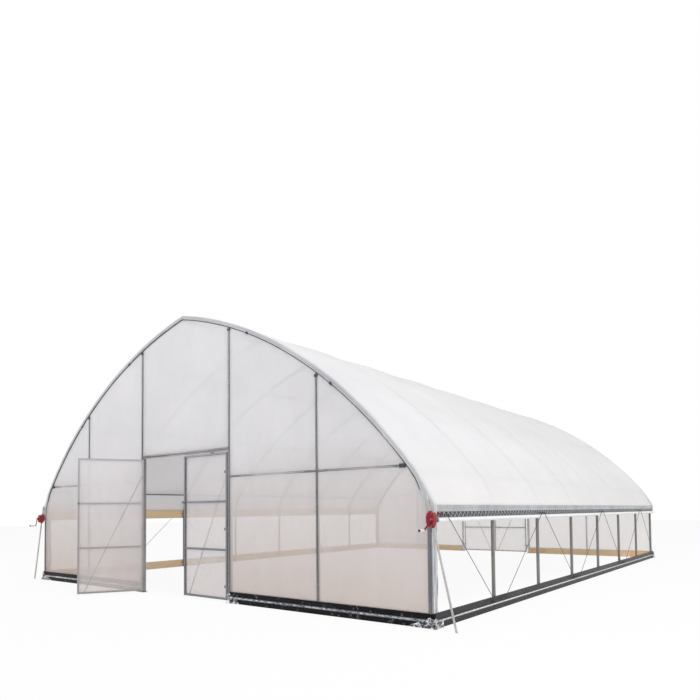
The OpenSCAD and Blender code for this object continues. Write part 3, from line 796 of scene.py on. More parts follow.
def filmPoint(x, z, top, y, out, seed):
    held = filmSwell(x, z, top)
    fold = ripple(x * 0.55 + z * 0.35, (z - x * 0.8) * 2.3, 0, seed)
    fold += 0.5 * ripple(x * 4 + z, z * 1.2 - x * 2, 7, seed)
    return (x, y + out * (gable["off"] + held * (gable["pillow"] + gable["wrinkle"] * fold)), z)


def makeGableFilm(end, y, out):
    rim, look = arch["hoopRadius"], "gable" if out < 0 else "back"
    for side, sign in sides:
        top = archHeight(rim, gable["doorX"])

        def beside(r, c):
            z = top * r
            wide = max(archHalfWidth(rim, min(z, top - 0.0001)), gable["doorX"])
            x = gable["doorX"] + (wide - gable["doorX"]) * c
            return filmPoint(sign * x, z, archHeight(rim, x) if z > arch["eave"] else 9, y, out, sign)

        rows = round(top / gable["step"])
        columns = round((arch["legX"] - gable["doorX"]) / gable["step"])
        name = f"{end}_gable_film_{side}"
        film = gridPiece(name, rows, columns, beside, look)
        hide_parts(f"{end}_film_{side}")
    low = gable["headerMiddle"]

    def over(r, c):
        x = gable["doorX"] * (2 * c - 1)
        top = archHeight(rim, x)
        return filmPoint(x, low + (top - low) * r, top, y, out, 5)

    columns = 2 * round(gable["doorX"] / gable["step"]) + 1
    rows = round((archHeight(rim, 0) - low) / gable["step"])
    name = f"{end}_gable_film_over_door"
    film = gridPiece(name, rows, columns, over, look)
    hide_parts(f"{end}_film_over_door")


for end, y, out in ends:
    makeGableFilm(end, y, out)
print("stage: gable films")

hinges = {j["child"]: j for j in frame["joints"] if j["child"].endswith("_leaf")}
leaf = {
    "edgeGap": 0.014,
    "tube": 0.030,
    "low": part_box("front_right_leaf_film")[0].z,
    "high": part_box("front_right_leaf_film")[1].z,
    "inside": 0.0165,  # the film's middle plane, inside the tubes' centres
    "billow": 0.006,
    "fields": 3,  # between its four rails
    "rows": 73,
    "columns": 35,
}
leaf["width"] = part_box("front_right_leaf_film")[1].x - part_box("front_right_leaf_film")[0].x
pinX = abs(hinges["front_left_leaf"]["pos_m"][0])
pinOut = frontY - hinges["front_left_leaf"]["pos_m"][1]
restAngle = {"front_left_leaf": -hinges["front_left_leaf"]["range_deg"][0]}


def leafPlace(name):
    # from a leaf's own place, its pin at the origin and the leaf towards +X, to where it hangs
    flip = name in ("front_right_leaf", "back_left_leaf")
    turn = Matrix.Rotation(-math.radians(restAngle.get(name, 0)), 4, "Z")
    own = Matrix.Translation((-pinX, -pinOut, 0)) @ turn
    if flip:
        own = Matrix.Diagonal((-1, 1, 1, 1)) @ own
    if name.startswith("front"):
        return Matrix.Translation((0, frontY, 0)) @ own
    return Matrix.Translation((0, backY, 0)) @ Matrix.Rotation(math.pi, 4, "Z") @ own


def makeLeafFilm(name, seed):
    matrix = leafPlace(name)
    y = pinOut + leaf["inside"]

    def spot(r, c):
        z = leaf["low"] + (leaf["high"] - leaf["low"]) * r
        x = leaf["edgeGap"] + leaf["width"] * c
        band = (r * leaf["fields"]) % 1
        free = 0
        if 0 < c < 1 and 0 < band < 1:
            free = (math.sin(math.pi * c) * math.sin(math.pi * band)) ** 0.6
        fold = ripple(x * 2.5 + z, z * 2.2 - x * 1.5, 0, seed)
        return tuple(matrix @ Vector((x, y + free * leaf["billow"] * (0.6 + 0.7 * fold), z)))

    look = "leaf" if name.startswith("front") else "back"
    film = gridPiece(f"{name}_sheet", leaf["rows"], leaf["columns"], spot, look, name)
    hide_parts(f"{name}_film")


for seed, name in enumerate(hinges):
    makeLeafFilm(name, seed)
print("stage: leaf films")

hem = {
    "step": 0.02,
    "crinkle": 0.0042,
    "low": 1.205,
    # (outside the hoop's centre line, in front of the hoop's plane), from the roof to the loose edge
    "section": [
        (0.0285, -0.026),
        (0.0300, -0.008),
        (0.0310, 0.012),
        (0.0320, 0.029),
        (0.0290, 0.0385),
        (0.0200, 0.0400),
        (0.0080, 0.0385),
        (0.0000, 0.0360),
        (-0.0070, 0.0385),
        (-0.0140, 0.0395),
        (-0.0190, 0.0385),
        (-0.0240, 0.0400),
    ],
}


def coverOut(z):
    # how far the roof film, board and hip channel stand outside the hoop at a height
    meetX, meetZ = meetBend()[:2]
    wallX = hipHigh.x + 0.0018 if z > hipLow.z - 0.004 else roofFace
    if z > meetZ:
        return 0.0
    if z > hipHigh.z:
        wallX = hipHigh.x + (meetX - hipHigh.x) * (z - hipHigh.z) / (meetZ - hipHigh.z) + 0.0018
    return max(0.0, wallX - archHalfWidth(roof["overHoop"], z))


def makeHem(name, y, out, seed):
    line = wholeArch(0.0, hem["low"], hem["step"])
    section = hem["section"]

    def spot(r, c):
        x, z, nx, nz = line[round(r * (len(line) - 1))]
        k = round(c * (len(section) - 1))
        off, ahead = section[k]
        along = r * 19.0
        loose = 0.35 + k / len(section)
        crinkle = ripple(along * 9, k * 0.35, z, seed) + 0.6 * ripple(along * 23, k * 0.8, 3, seed)
        rough = hem["crinkle"] * loose * crinkle
        edge = 0.006 * ripple(along * 3, 5, 0, seed) if k == len(section) - 1 else 0
        off += rough * (1 if k < 4 else 0.4) + edge + coverOut(z) * min(1.0, max(0.0, 1 - (k - 5) / 6))
        ahead += abs(rough) * (0 if k < 3 else 1)
        return (x + nx * off, y + out * ahead, z + nz * off)

    film = gridPiece(name, len(line), len(section), spot, "hem")


makeHem("front_hem", frontY, -1, 1)
makeHem("back_hem", backY, 1, 2)
print("stage: hems")

skirt = {
    "step": 0.03,
    "face": 4.5652,  # just over the board's face
    "gableFace": 0.0300,  # in front of the hoop's plane
    "crease": 0.0035,
    "channelLow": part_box("base_channels")[0].z,
    "channelHigh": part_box("base_channels")[1].z,
    "heights": [0.002, 0.012, 0.024, 0.038, 0.052, 0.066, 0.085, 0.104, 0.118, 0.134, 0.150, 0.163],
    "overEnd": 0.0295,
    "capWide": 0.036,  # of the strip along a gable board's top
    "capInset": 0.03,  # that strip's ends, from the door post and the corner leg
}


def skirtCrease(along, z, seed):
    # how far the film stands off the board: nothing under the channel, more at the free edges
    low, high = skirt["channelLow"] - 0.006, skirt["channelHigh"] + 0.006
    if low <= z <= high:
        return 0.0
    free = min(1.0, min(abs(z - low), abs(z - high)) / 0.03)
    slant = ripple(along * 7 + z * 16, z * 5, 0, seed)
    fine = ripple(along * 24, z * 30, 3, seed)
    return skirt["crease"] * free * max(0.0, 0.35 + 0.9 * slant + 0.4 * fine)


def makeSideSkirt(side, sign):
    top = baseHigh
    section = [(skirt["face"], z) for z in skirt["heights"] + [top - 0.001]]
    section += [(skirt["face"] - 0.003, top + 0.0012), (4.545, top + 0.0016), (4.527, top + 0.0012)]
    y0, y1 = frontY - skirt["overEnd"], backY + skirt["overEnd"]
    columns = round((y1 - y0) / skirt["step"]) + 1

    def spot(r, c):
        x, z = section[round(r * (len(section) - 1))]
        y = y0 + (y1 - y0) * c
        if z < top:
            x += skirtCrease(y, z, sign)
        else:
            z += 0.0012 * abs(ripple(y * 9, x * 30, 0, sign))
        return (sign * x, y, z)

    film = gridPiece(f"skirt_{side}", len(section), columns, spot, "skirt")
    return film


def makeGableSkirt(end, y, out, side, sign):
    top = baseHigh
    heights = skirt["heights"] + [top]
    x0, x1 = gable["doorX"] + 0.002, skirt["face"]
    columns = round((x1 - x0) / skirt["step"]) + 1

    def spot(r, c):
        z = heights[round(r * (len(heights) - 1))]
        x = x0 + (x1 - x0) * c
        return (sign * x, y + out * (skirt["gableFace"] + skirtCrease(x, z, 3 + out + sign)), z)

    film = gridPiece(f"skirt_{end}_{side}", len(heights), columns, spot, "gableSkirt")

    inset = skirt["capInset"]

    def cap(r, c):
        x = gable["doorX"] + inset + (arch["legX"] - inset - gable["doorX"] - inset) * c
        rise = 0.0015 * abs(ripple(x * 8, r, 0, sign))
        return (sign * x, y - out * (0.0120 - skirt["capWide"] * r), top + 0.0012 + rise)

    strip = gridPiece(f"skirt_cap_{end}_{side}", 4, columns, cap, "gableSkirt")


for side, sign in sides:
    film = makeSideSkirt(side, sign)
    if side == "left":
        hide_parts("base_skirts")
for end, y, out in ends:
    for side, sign in sides:
        makeGableSkirt(end, y, out, side, sign)
print("stage: skirts")

# film gathered in the base channels, and folded round the corner legs
flap = {
    "step": 0.02,
    "bead": 0.030,
    "beadStep": 0.012,
    "beadOut": 0.0350,
    "beadDepth": 0.0065,
    "stripLow": 0.174,
    "stripHigh": 1.208,
    "stripWide": 0.105,  # on the long side, from the leg's middle
    "stripFront": 0.027,  # on the gable's side
    "stripOut": 0.0262,
    "stripColumns": 8,
}


def makeBead(end, y, out, side, sign):
    # film gathered in the gable's base channel
    x0, x1 = gable["doorX"] + 0.005, skirt["face"] - 0.004
    columns = round((x1 - x0) / flap["beadStep"]) + 1
    middle = (skirt["channelLow"] + skirt["channelHigh"]) / 2

    def spot(r, c):
        x = x0 + (x1 - x0) * c
        z = middle + flap["bead"] * (r - 0.5) * (1 + 0.35 * ripple(x * 9, r * 2, 0, 31 + sign * out))
        z += 0.0035 * ripple(x * 13, 1, 0, 33 + sign * out)
        puff = flap["beadDepth"] * abs(ripple(x * 34, r * 2.5, 0, 35 + sign))
        ahead = flap["beadOut"] + puff * math.sin(math.pi * r)
        return (sign * x, y + out * ahead, z)

    name = f"gathered_film_{end}_{side}"
    film = gridPiece(name, 6, columns, spot, "gathered")


# the crumpled film's path: how far along the gable it reaches, and how far round the corner
boot = {"step": 0.012, "gable": 30, "bend": 5, "side": 15, "post": 22, "reach": 0.36, "rows": 15}
corner = {"high": 0.135, "peak": 0.62, "puff": 0.017, "flare": 0.030, "flarePower": 3}
# flat at the door post, where a leaf swings close by
post = {"high": 0.150, "peak": 0.12, "puff": 0.002, "flare": 0.018, "flarePower": 8}


def makeBoot(name, path, heapLooks, seed):
    # film crumpled round a foot; path points are (x, y, outward x, outward y), and it is highest at peak
    columns = len(path)
    length = sum(math.dist(a[:2], b[:2]) for a, b in zip(path, path[1:]))
    peak, high = heapLooks["peak"], heapLooks["high"]

    def spot(r, c):
        x, y, nx, ny = path[round(c * (columns - 1))]
        heap = max(0.0, 1 - abs(c - peak) / max(peak, 1 - peak)) ** 0.8
        edge = 1 + 0.45 * ripple(c * length * 14, 2, 0, seed)
        z = 0.003 + high * r * (0.04 + 0.96 * heap) * edge
        flare = heapLooks["flare"] * (1 - r) ** heapLooks["flarePower"] * heap
        crumple = abs(ripple(c * length * 42, r * 4.5, 0, seed))
        crumple += 0.7 * abs(ripple(c * length * 80, r * 9, 3, seed))
        off = 0.0035 + flare + heapLooks["puff"] * crumple * heap
        z += 0.006 * ripple(c * length * 50, r * 6, 5, seed) * (r if r > 0.1 else 0)
        return (x + nx * off, y + ny * off, max(z, 0.003))

    film = gridPiece(name, boot["rows"], columns, spot, "crumpled")


def makeBoots(end, y, out, side, sign):
    face, edge = skirt["gableFace"] + 0.005, skirt["face"] + 0.005
    step, bend = boot["step"], boot["bend"]
    start = edge - boot["reach"]
    path = [(sign * (start + step * i), y + out * face, 0, out) for i in range(boot["gable"])]
    for i in range(bend):
        angle = math.pi / 2 * (1 - (i + 1) / (bend + 1))
        path.append((sign * edge, y + out * face, sign * math.cos(angle), out * math.sin(angle)))
    path += [(sign * edge, y + out * (face - 0.010 - step * i), sign, 0) for i in range(boot["side"])]
    makeBoot(f"crumpled_film_{end}_{side}_corner", path, corner, 41 + sign * out)
    start = gable["doorX"] - 0.028
    path = [(sign * (start + step * i), y + out * face, 0, out) for i in range(boot["post"])]
    makeBoot(f"crumpled_film_{end}_{side}_post", path, post, 47 + sign * out)


def makeCornerStrip(end, y, out, side, sign):
    # the gable film's spare edge, folded round the corner leg
    low, high = flap["stripLow"], flap["stripHigh"]
    rows = round((high - low) / flap["step"]) + 1

    def spot(r, c):
        z = low + (high - low) * r
        edge = flap["stripWide"] + 0.022 * ripple(z * 5, 1, 0, sign + out)
        ahead = flap["stripFront"] - (flap["stripFront"] + edge) * c
        fold = 0.005 * abs(ripple(z * 11 + c * 2, c * 3, 0, sign))
        fold += 0.003 * abs(ripple(z * 26, c * 5, 2, out))
        return (sign * (arch["legX"] + flap["stripOut"] + fold * min(1, c * 2.5)), y + out * ahead, z)

    name = f"corner_strip_{end}_{side}"
    film = gridPiece(name, rows, flap["stripColumns"], spot, "strip")


for end, y, out in ends:
    for side, sign in sides:
        makeBead(end, y, out, side, sign)
        makeBoots(end, y, out, side, sign)
        makeCornerStrip(end, y, out, side, sign)
print("stage: loose film")

# locking rails over the gable posts, with their spring wires
lock = {
    # across and out: a shallow rail with rolled lips
    "rail": [(-0.013, 0), (0.013, 0), (0.013, 0.0075), (0.0085, 0.009), (0.006, 0.0035),
             (-0.006, 0.0035), (-0.0085, 0.009), (-0.013, 0.0075)],
    "face": 0.0292,  # in front of the hoop's plane, on the film
    "postShift": 0.0135,  # from the middle of a door post
    "girtZ": 1.886,
    "pitch": 0.065,
    "wire": 0.0016,
    "wireOut": 0.0062,
    "wireSwing": 0.0048,
    "clip": (0.060, 0.034, 0.012),
    "girtClip": 1.5,  # a girt's clip is this much larger
    "purlinAngles": (65.5, 51.5),  # degrees round the rafter's circle
    "purlinClip": (0.062, 0.036, 0.014),
    "rimInset": 0.033,
    "rimOut": 0.0325,
    "rim": 0.0055,
    "rimLow": 1.55,
}


evenWave = ((0.0, 1), (0.34, 1), (0.5, -1), (0.84, -1))
slantWave = ((0.0, 1), (0.12, 1), (0.62, -1), (0.86, -1))


def addWire(shape, start, end, across, swing, pitch=None, radius=None, wave=evenWave):
    # a spring wire pressed in a channel: flat-topped waves from start to end
    start, end, across = Vector(start), Vector(end), Vector(across)
    waves = max(2, round((end - start).length / (pitch or lock["pitch"])))
    points = []
    for i in range(waves):
        for part, side in wave:
            points.append(start.lerp(end, (i + part) / waves) + across * (side * swing))
    addTube(shape, points, radius or lock["wire"], 5)


def makeLocks(end, y, out):
    rails, wires, clamps = emptyShape(), emptyShape(), emptyShape()
    face = y + out * lock["face"]
    ahead = (0, out, 0)
    girt, door = lock["girtZ"], gable["doorX"]
    runs = [((-door, face, gable["headerMiddle"]), (door, face, gable["headerMiddle"]), (0, 0, 1))]
    for sign in (1, -1):
        stop = sign * archHalfWidth(-0.05, girt)
        runs.insert(0, ((sign * (door + 0.03), face, girt), (stop, face, girt), (0, 0, 1)))
        for x in (gable["postX"], door + lock["postShift"]):
            start = (sign * x, face, baseHigh + 0.002)
            runs.insert(0, (start, (sign * x, face, archHeight(-0.03, x)), (sign, 0, 0)))
    for start, stop, across in runs:
        addProfile(rails, lock["rail"], start, stop, across, ahead)
        shift = Vector(ahead) * lock["wireOut"]
        addWire(wires, Vector(start) + shift, Vector(stop) + shift, across, lock["wireSwing"])
    # clips that hold the ends of girts and posts to the hoop
    clips = (
        (archHalfWidth(-0.075, girt), girt, lock["girtClip"]),
        (gable["postX"], archHeight(-0.07, gable["postX"]), 1.0),
        (door + lock["postShift"], archHeight(-0.07, door), 1.0),
    )
    wide, high, thick = lock["clip"]
    for sign in (-1, 1):
        for x, z, large in clips:
            spot = axes((sign * x, face, z), (1, 0, 0), ahead)
            dims = (wide * large, high * large, thick)
            addBlock(clamps, spot @ Matrix.Translation((0, 0, 0.0085)), dims, 0.003)
            for step in (-0.018 * large, 0.018 * large):
                addBolt(clamps, spot @ Vector((step, 0, 0.0145)), ahead, 0.0065)
    # bands where the purlins end at the gable hoop
    r = arch["rafterRadius"] - 0.028
    for degrees in lock["purlinAngles"]:
        angle = math.radians(degrees)
        x, z = rafterX + r * math.cos(angle), rafterZ + r * math.sin(angle)
        for sign in (-1, 1):
            spot = axes((sign * x, face, z), (math.sin(angle), 0, -sign * math.cos(angle)), ahead)
            addBlock(clamps, spot @ Matrix.Translation((0, 0, 0.006)), lock["purlinClip"], 0.005)
            addBolt(clamps, spot @ Vector((0, 0, 0.013)), ahead, 0.006)
    finishShape(f"{end}_lock_rails", rails, "frame", smoothAngle=25)
    finishShape(f"{end}_lock_wires", wires, "wire")
    finishShape(f"{end}_end_clips", clamps, "clip")
    # thin dark rod inside the rim's hem: painted shadow line under the hem
    rim = emptyShape()
    line = wholeArch(-lock["rimInset"], hem["low"], 0.08)
    points = [(x, y + out * lock["rimOut"], z) for x, z, nx, nz in line if z > lock["rimLow"]]
    addTube(rim, points, lock["rim"], 6)
    finishShape(f"{end}_rim_shade_line", rim, "clip")


for end, y, out in ends:
    makeLocks(end, y, out)
print("stage: gable locks")

# spring wires of the base and hip channels, and a dark strip of painted shade in the hip channel's lower
# groove
groove = {
    "baseWave": {"swing": 0.0060, "pitch": 0.11, "radius": 0.0024},
    # the hip channel's lower and upper groove
    "hipWaves": (
        {"swing": 0.0240, "pitch": 0.104, "radius": 0.0036, "wave": slantWave},
        {"swing": 0.0160, "pitch": 0.085, "radius": 0.0024, "wave": evenWave},
    ),
    "hipOut": (0.0022, -0.0008),  # outside the hip channel's face
    "grooveShadeHigh": 0.0325,
    "bead": 0.0075,
}


def makeChannelWires():
    base, hip, shadeStrip = emptyShape(), emptyShape(), emptyShape()
    baseZ = (skirt["channelLow"] + skirt["channelHigh"]) / 2
    half = (hipHigh.z - hipLow.z) / 2
    y0, y1 = frontY - 0.02, backY + 0.02
    for sign in (-1, 1):
        x = sign * (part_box("base_channels")[1].x - 0.0008)
        addWire(base, (x, y0, baseZ), (x, y1, baseZ), (0, 0, 1), **groove["baseWave"])
        for end, y, out in ends:
            ahead = y + out * 0.0365
            start = (sign * (gable["doorX"] + 0.02), ahead, baseZ)
            stop = (sign * (skirt["face"] - 0.01), ahead, baseZ)
            addWire(base, start, stop, (0, 0, 1), **groove["baseWave"])
        for k in (0, 1):
            z = hipLow.z + half * (k + 0.5)
            x = sign * (hipHigh.x + groove["hipOut"][k])
            addWire(hip, (x, y0, z), (x, y1, z), (0, 0, 1), **groove["hipWaves"][k])
        # a thin dark strip in the lower channel's groove: painted shade
        z = hipLow.z + half * 0.5
        middle = sign * (hipHigh.x + 0.0006)
        high = groove["grooveShadeHigh"]
        profile = [(-high, -0.0004), (high, -0.0004), (high, 0.0004), (-high, 0.0004)]
        addProfile(shadeStrip, profile, (middle, y0, z), (middle, y1, z), (0, 0, 1), (1, 0, 0))
    bead = emptyShape()  # film doubled over in the base channels' grooves
    high = groove["bead"]
    roll = [(-high, -0.0007), (high, -0.0007), (high, 0.0007), (0, 0.0014), (-high, 0.0007)]
    for sign in (-1, 1):
        x = sign * (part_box("base_channels")[1].x - 0.0027)
        addProfile(bead, roll, (x, y0, baseZ), (x, y1, baseZ), (0, 0, 1), (sign, 0, 0))
    finishShape("base_film_bead", bead, "roll")
    finishShape("base_spring_wires", base, "wire")
    finishShape("hip_spring_wires", hip, "wire")
    finishShape("hip_groove_shade", shadeStrip, "grooveShade")


makeChannelWires()
print("stage: channel wires")

curtain = {
    "barRadius": 0.0135,
    "outer": 0.0268,
    "turns": 8.6,
    "sides": 18,
    "step": 0.2,
    "hang": 0.030,  # how high in the lower hip channel its edge is locked
    "loose": 0.0006,  # between the bar and the first turn
    "clips": 15,
    "clipInset": 0.45,  # the first clip, from the front hoop
    "clip": [(0.0272, 0), (0.0285, 0.002), (0.0285, 0.034), (0.0272, 0.036)],
    "sag": 0.0022,
    "lump": 0.0009,
}


def makeCurtain(side, sign):
    low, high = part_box(f"{side}_curtain_roll")
    middleX, middleZ = sign * (abs(low.x + high.x) / 2), (low.z + high.z) / 2
    y0, y1 = frontY - 0.015, backY + 0.02
    count = round(curtain["turns"] * curtain["sides"])
    first = curtain["barRadius"] + curtain["loose"]
    spiral = []
    for i in range(count + 1):
        share = i / count
        r = first + (curtain["outer"] - curtain["barRadius"] - curtain["loose"]) * share
        # wound so that the last turn leaves the roll on the wall's side, going up
        a = math.pi + 2 * math.pi * curtain["turns"] * (1 - share)
        spiral.append((r * math.cos(a), r * math.sin(a)))
    wallX = hipHigh.x - 0.0045 - abs(middleX)
    top = hipLow.z + curtain["hang"] - middleZ
    tail = [spiral[-1]]
    for share in (0.25, 0.5, 0.75, 1.0):
        tail.append((tail[0][0] + (wallX - tail[0][0]) * share**1.5, top * share))
    line = spiral + tail[1:]
    columns = round((y1 - y0) / curtain["step"]) + 1

    def spot(r, c):
        k = round(r * (len(line) - 1))
        x, z = line[k]
        y = y0 + (y1 - y0) * c
        inRoll = min(1.0, (len(line) - 1 - k) / 6)
        sag = -curtain["sag"] * math.sin(math.pi * inBays(y) % math.pi) * inRoll
        lump = curtain["lump"] * ripple(y * 3, k * 0.15, 0, sign) * inRoll
        size = 1 + lump / curtain["outer"]
        return (middleX + sign * x * size, y, middleZ + z * size + sag)

    film = gridPiece(f"{side}_curtain", len(line), columns, spot, "roll")
    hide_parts(f"{side}_curtain_roll")
    bar = emptyShape()
    path = [(frontY - 0.034, 0), (0, -0.0015), (backY + 0.028, 0)]
    addTube(bar, [(middleX, y, middleZ + z) for y, z in path], curtain["barRadius"], 20)
    clips = emptyShape()
    for i in range(curtain["clips"]):
        run = backY - frontY - 2 * curtain["clipInset"]
        y = frontY + curtain["clipInset"] + i * run / (curtain["clips"] - 1)
        turn = Matrix.Rotation(-math.pi / 2, 4, "X")
        clip = Matrix.Translation((middleX, y - 0.018, middleZ - 0.002)) @ turn
        addLathe(clips, clip, curtain["clip"], 18)
    finishShape(f"{side}_roll_bar", bar, "pole")
    finishShape(f"{side}_roll_clips", clips, "grip")


for side, sign in sides:
    makeCurtain(side, sign)
print("stage: curtains")

rope = {
    "topStep": 0.06,  # half of the distance between the two hooks of a hoop
    "bottomStep": 0.17,
    "topShift": 0.10,  # top hooks sit this far in front of the hoop
    "topZ": 1.29,
    "bottomZ": 0.125,
    "topOut": 0.066,  # outside the hip channel
    "bottomOut": 0.020,  # outside the base channel
    "strand": 0.0028,
    "offset": 0.0023,
    "lay": 0.034,
    "hookWire": 0.0032,
    "knot": [(0.003, -0.011), (0.0075, -0.007), (0.0085, 0), (0.0075, 0.007), (0.003, 0.011)],
    "tail": 0.05,  # how far each end runs on past its last hook
    "plate": (0.046, 0.022, 0.003),
    "plateBolt": 0.016,
}


def addRope(shape, path):
    # two strands laid round each other along straight runs
    for phase in (0.0, math.pi):
        points, turned = [], 0.0
        for a, b in zip(path, path[1:]):
            a, b = Vector(a), Vector(b)
            ahead = (b - a).normalized()
            side = ahead.cross(Vector((1, 0, 0))).normalized()
            other = ahead.cross(side)
            steps = max(3, round((b - a).length / rope["lay"] * 5))
            for i in range(steps):
                angle = turned + phase + 2 * math.pi * (b - a).length * i / steps / rope["lay"]
                away = side * math.cos(angle) + other * math.sin(angle)
                points.append(a.lerp(b, i / steps) + away * rope["offset"])
            turned += 2 * math.pi * (b - a).length / rope["lay"]
        points.append(Vector(path[-1]))
        addTube(shape, points, rope["strand"], 4)


def makeRopes(side, sign):
    cord, hooks, plates = emptyShape(), emptyShape(), emptyShape()
    topX = hipHigh.x + rope["topOut"]
    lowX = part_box("base_channels")[1].x + rope["bottomOut"]
    path = []
    for i in range(hoops):
        for step in (-1, 1):
            if (i == 0 and step < 0) or (i == hoops - 1 and step > 0):
                continue
            high = i % 2 == 0
            y = frontY + i * bay + step * rope["topStep" if high else "bottomStep"]
            if high:
                y += rope["topShift"] * (-1 if i else 1)
            x, z = (topX, rope["topZ"]) if high else (lowX, rope["bottomZ"])
            path.append((sign * x, y, z))
            # hook: out of its plate, past the roll and turned up (or down) round the rope
            wall = (hipHigh.x if high else skirt["face"] + 0.001) + 0.001
            turn = -1 if high else 1
            rise = [(wall, 0.0), (x + 0.004, 0.0)]
            rise += [(x + 0.010, 0.004 * turn), (x + 0.011, 0.012 * turn), (x + 0.005, 0.018 * turn)]
            z -= 0.008 * turn
            addTube(hooks, [(sign * px, y, z + pz) for px, pz in rise], rope["hookWire"], 8)
            plate = axes((sign * wall, y, z), (0, 1, 0), (sign, 0, 0))
            addBlock(plates, plate @ Matrix.Translation((0, 0, 0.001)), rope["plate"], 0.001)
            for shift in (-rope["plateBolt"], rope["plateBolt"]):
                addBolt(plates, plate @ Vector((shift, 0, 0.0025)), (sign, 0, 0), 0.0045, washer=False)
    tails = []
    for first, second in ((0, 1), (-1, -2)):
        a, b = Vector(path[first]), Vector(path[second])
        tails.append(tuple(a + (a - b).normalized() * rope["tail"]))
    addRope(cord, [tails[0]] + path + [tails[1]])
    for spot in (path[0], path[-1]):
        knot = Matrix.Translation(spot) @ Matrix.Rotation(math.pi / 2, 4, "X")
        addLathe(cord, knot, rope["knot"], 10)
    line = finishShape(f"{side}_zigzag_rope", cord, "rope")
    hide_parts(f"{side}_ropes")
    finishShape(f"{side}_rope_hooks", hooks, "clip")
    finishShape(f"{side}_hook_plates", plates, "clip", smoothAngle=30)


for side, sign in sides:
    makeRopes(side, sign)
print("stage: ropes")

winch = {
    "boss": 0.012,  # how far its shaft's boss stands out in front
    "neck": 0.014,  # how far the coupling reaches out behind
    "cover": 0.004,
    "screw": 0.0052,
    "collar": 0.0205,
    "rodRadius": 0.0085,
    # shares of the housing's half width and half height
    "screws": ((0.56, 0.78), (-0.56, 0.78), (0.52, -0.80), (-0.52, -0.80), (0.80, 0.02)),
    "outline": ((0.7, -1), (1, -0.35), (1, 0.4), (0.75, 1)),
}
# how far from the middle a guide pole stands at 1.5 m and on the ground
pole = {"top": 4.5, "foot": 4.85, "rise": 1.5, "behind": 0.072, "boltHeights": (1.437, 1.452)}
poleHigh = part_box("guide_poles")[1].z


def poleX(z):
    return pole["foot"] + (pole["top"] - pole["foot"]) * z / pole["rise"]


def poleLean(sign):
    return Vector((sign * (pole["top"] - pole["foot"]), 0, pole["rise"])).normalized()


def makeWinch(side, sign):
    low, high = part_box(f"{side}_winch")
    middle = Vector((sign * abs(low.x + high.x) / 2, 0, (low.z + high.z) / 2))
    w, h = (high.x - low.x) / 2, (high.z - low.z) / 2
    face, back = low.y + winch["boss"], high.y - winch["neck"]
    half = [(x * w, y * h) for x, y in winch["outline"]]
    outline = half + [(-x, y) for x, y in reversed(half)]
    pin = Vector(next(j for j in frame["joints"] if j["child"] == f"{side}_crank")["pos_m"])
    body, steel = emptyShape(), emptyShape()
    spot = axes((middle.x, back, middle.z), (1, 0, 0), (0, -1, 0))
    depth = back - face
    addPrism(body, spot, outline, depth * 0.46, 0.006)
    addPrism(body, spot @ Matrix.Translation((0, 0, depth * 0.49)), outline, depth * 0.51, 0.009)
    seam = [(x * 0.95, y * 0.95) for x, y in outline]
    addPrism(steel, spot @ Matrix.Translation((0, 0, depth * 0.44)), seam, depth * 0.07, 0.001)
    inner = [(x * 0.72, y * 0.74) for x, y in outline]
    addPrism(body, spot @ Matrix.Translation((0, 0, depth - 0.001)), inner, winch["cover"], 0.0015)
    for x, y in winch["screws"]:
        screw = spot @ Vector((-sign * x * w, y * h, depth - 0.0005))
        addBolt(steel, screw, (0, -1, 0), winch["screw"])
    # ribs that run out from the boss
    hub = axes((pin.x, face, pin.z), (1, 0, 0), (0, -1, 0))
    for i in range(6):
        angle = math.radians(30 + 60 * i)
        reach = 0.027 if math.cos(angle) * sign < 0.3 else 0.016
        rib = Matrix.Translation((reach / 2 + 0.007, 0, winch["cover"] + 0.001))
        rib = hub @ Matrix.Rotation(angle, 4, "Z") @ rib
        addBlock(body, rib, (reach, 0.005, 0.006), 0.0015)
    addLathe(body, hub, [(0.0130, 0), (0.0130, 0.008), (0.0115, 0.0105), (0.0060, 0.0115)], 24)
    # coupling to the roll bar
    coupling = axes((pin.x, back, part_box(f"{side}_curtain_roll")[0].z + 0.027), (1, 0, 0), (0, 1, 0))
    addLathe(steel, coupling, [(0.0095, -0.004), (0.0100, 0), (0.0100, 0.012), (0.0085, 0.0138)], 20)
    # collars round the guide pole
    wide = winch["collar"]
    ring = [(0.0135, 0), (0.0175, 0), (wide, 0.003), (wide, 0.014), (0.0175, 0.018), (0.0135, 0.018)]
    for z in (middle.z + h, middle.z - h - 0.018):
        hold = (sign * poleX(z), low.y + pole["behind"], z)
        addLathe(body, axes(hold, (0, 1, 0), poleLean(sign)), ring, 24)
    # stop arm from the housing to the hip channel's end
    start = Vector((pin.x, back + 0.002, middle.z + 0.026))
    end = Vector((sign * (hipHigh.x + 0.016), back + 0.110, middle.z + 0.056))
    rod = [start + Vector((0, -0.004, 0)), start, start.lerp(end, 0.5) + Vector((0, 0, 0.004)), end]
    addTube(body, rod, winch["rodRadius"], 12)
    finishShape(f"{side}_winch_screws", steel, "bolt")
    housing = finishShape(f"{side}_winch_housing", body, "enamel", smoothAngle=28)
    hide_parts(f"{side}_winch")
    clamp = emptyShape()
    block = Matrix.Translation((sign * (hipHigh.x + 0.012), end.y + 0.014, end.z))
    addBlock(clamp, block, (0.022, 0.034, 0.026), 0.004)
    addTube(clamp, [(end.x, end.y + 0.026, end.z), (end.x, end.y + 0.050, end.z + 0.002)], 0.0055, 10)
    finishShape(f"{side}_stop_clamp", clamp, "black")


crank = {"arm": 0.155, "wide": 0.024, "thick": 0.008, "shaft": 0.010, "grip": 0.014, "gripLong": 0.120}
# from +X towards +Z, at rest
crankAngle = {"right": math.radians(233), "left": math.radians(180 - 293)}


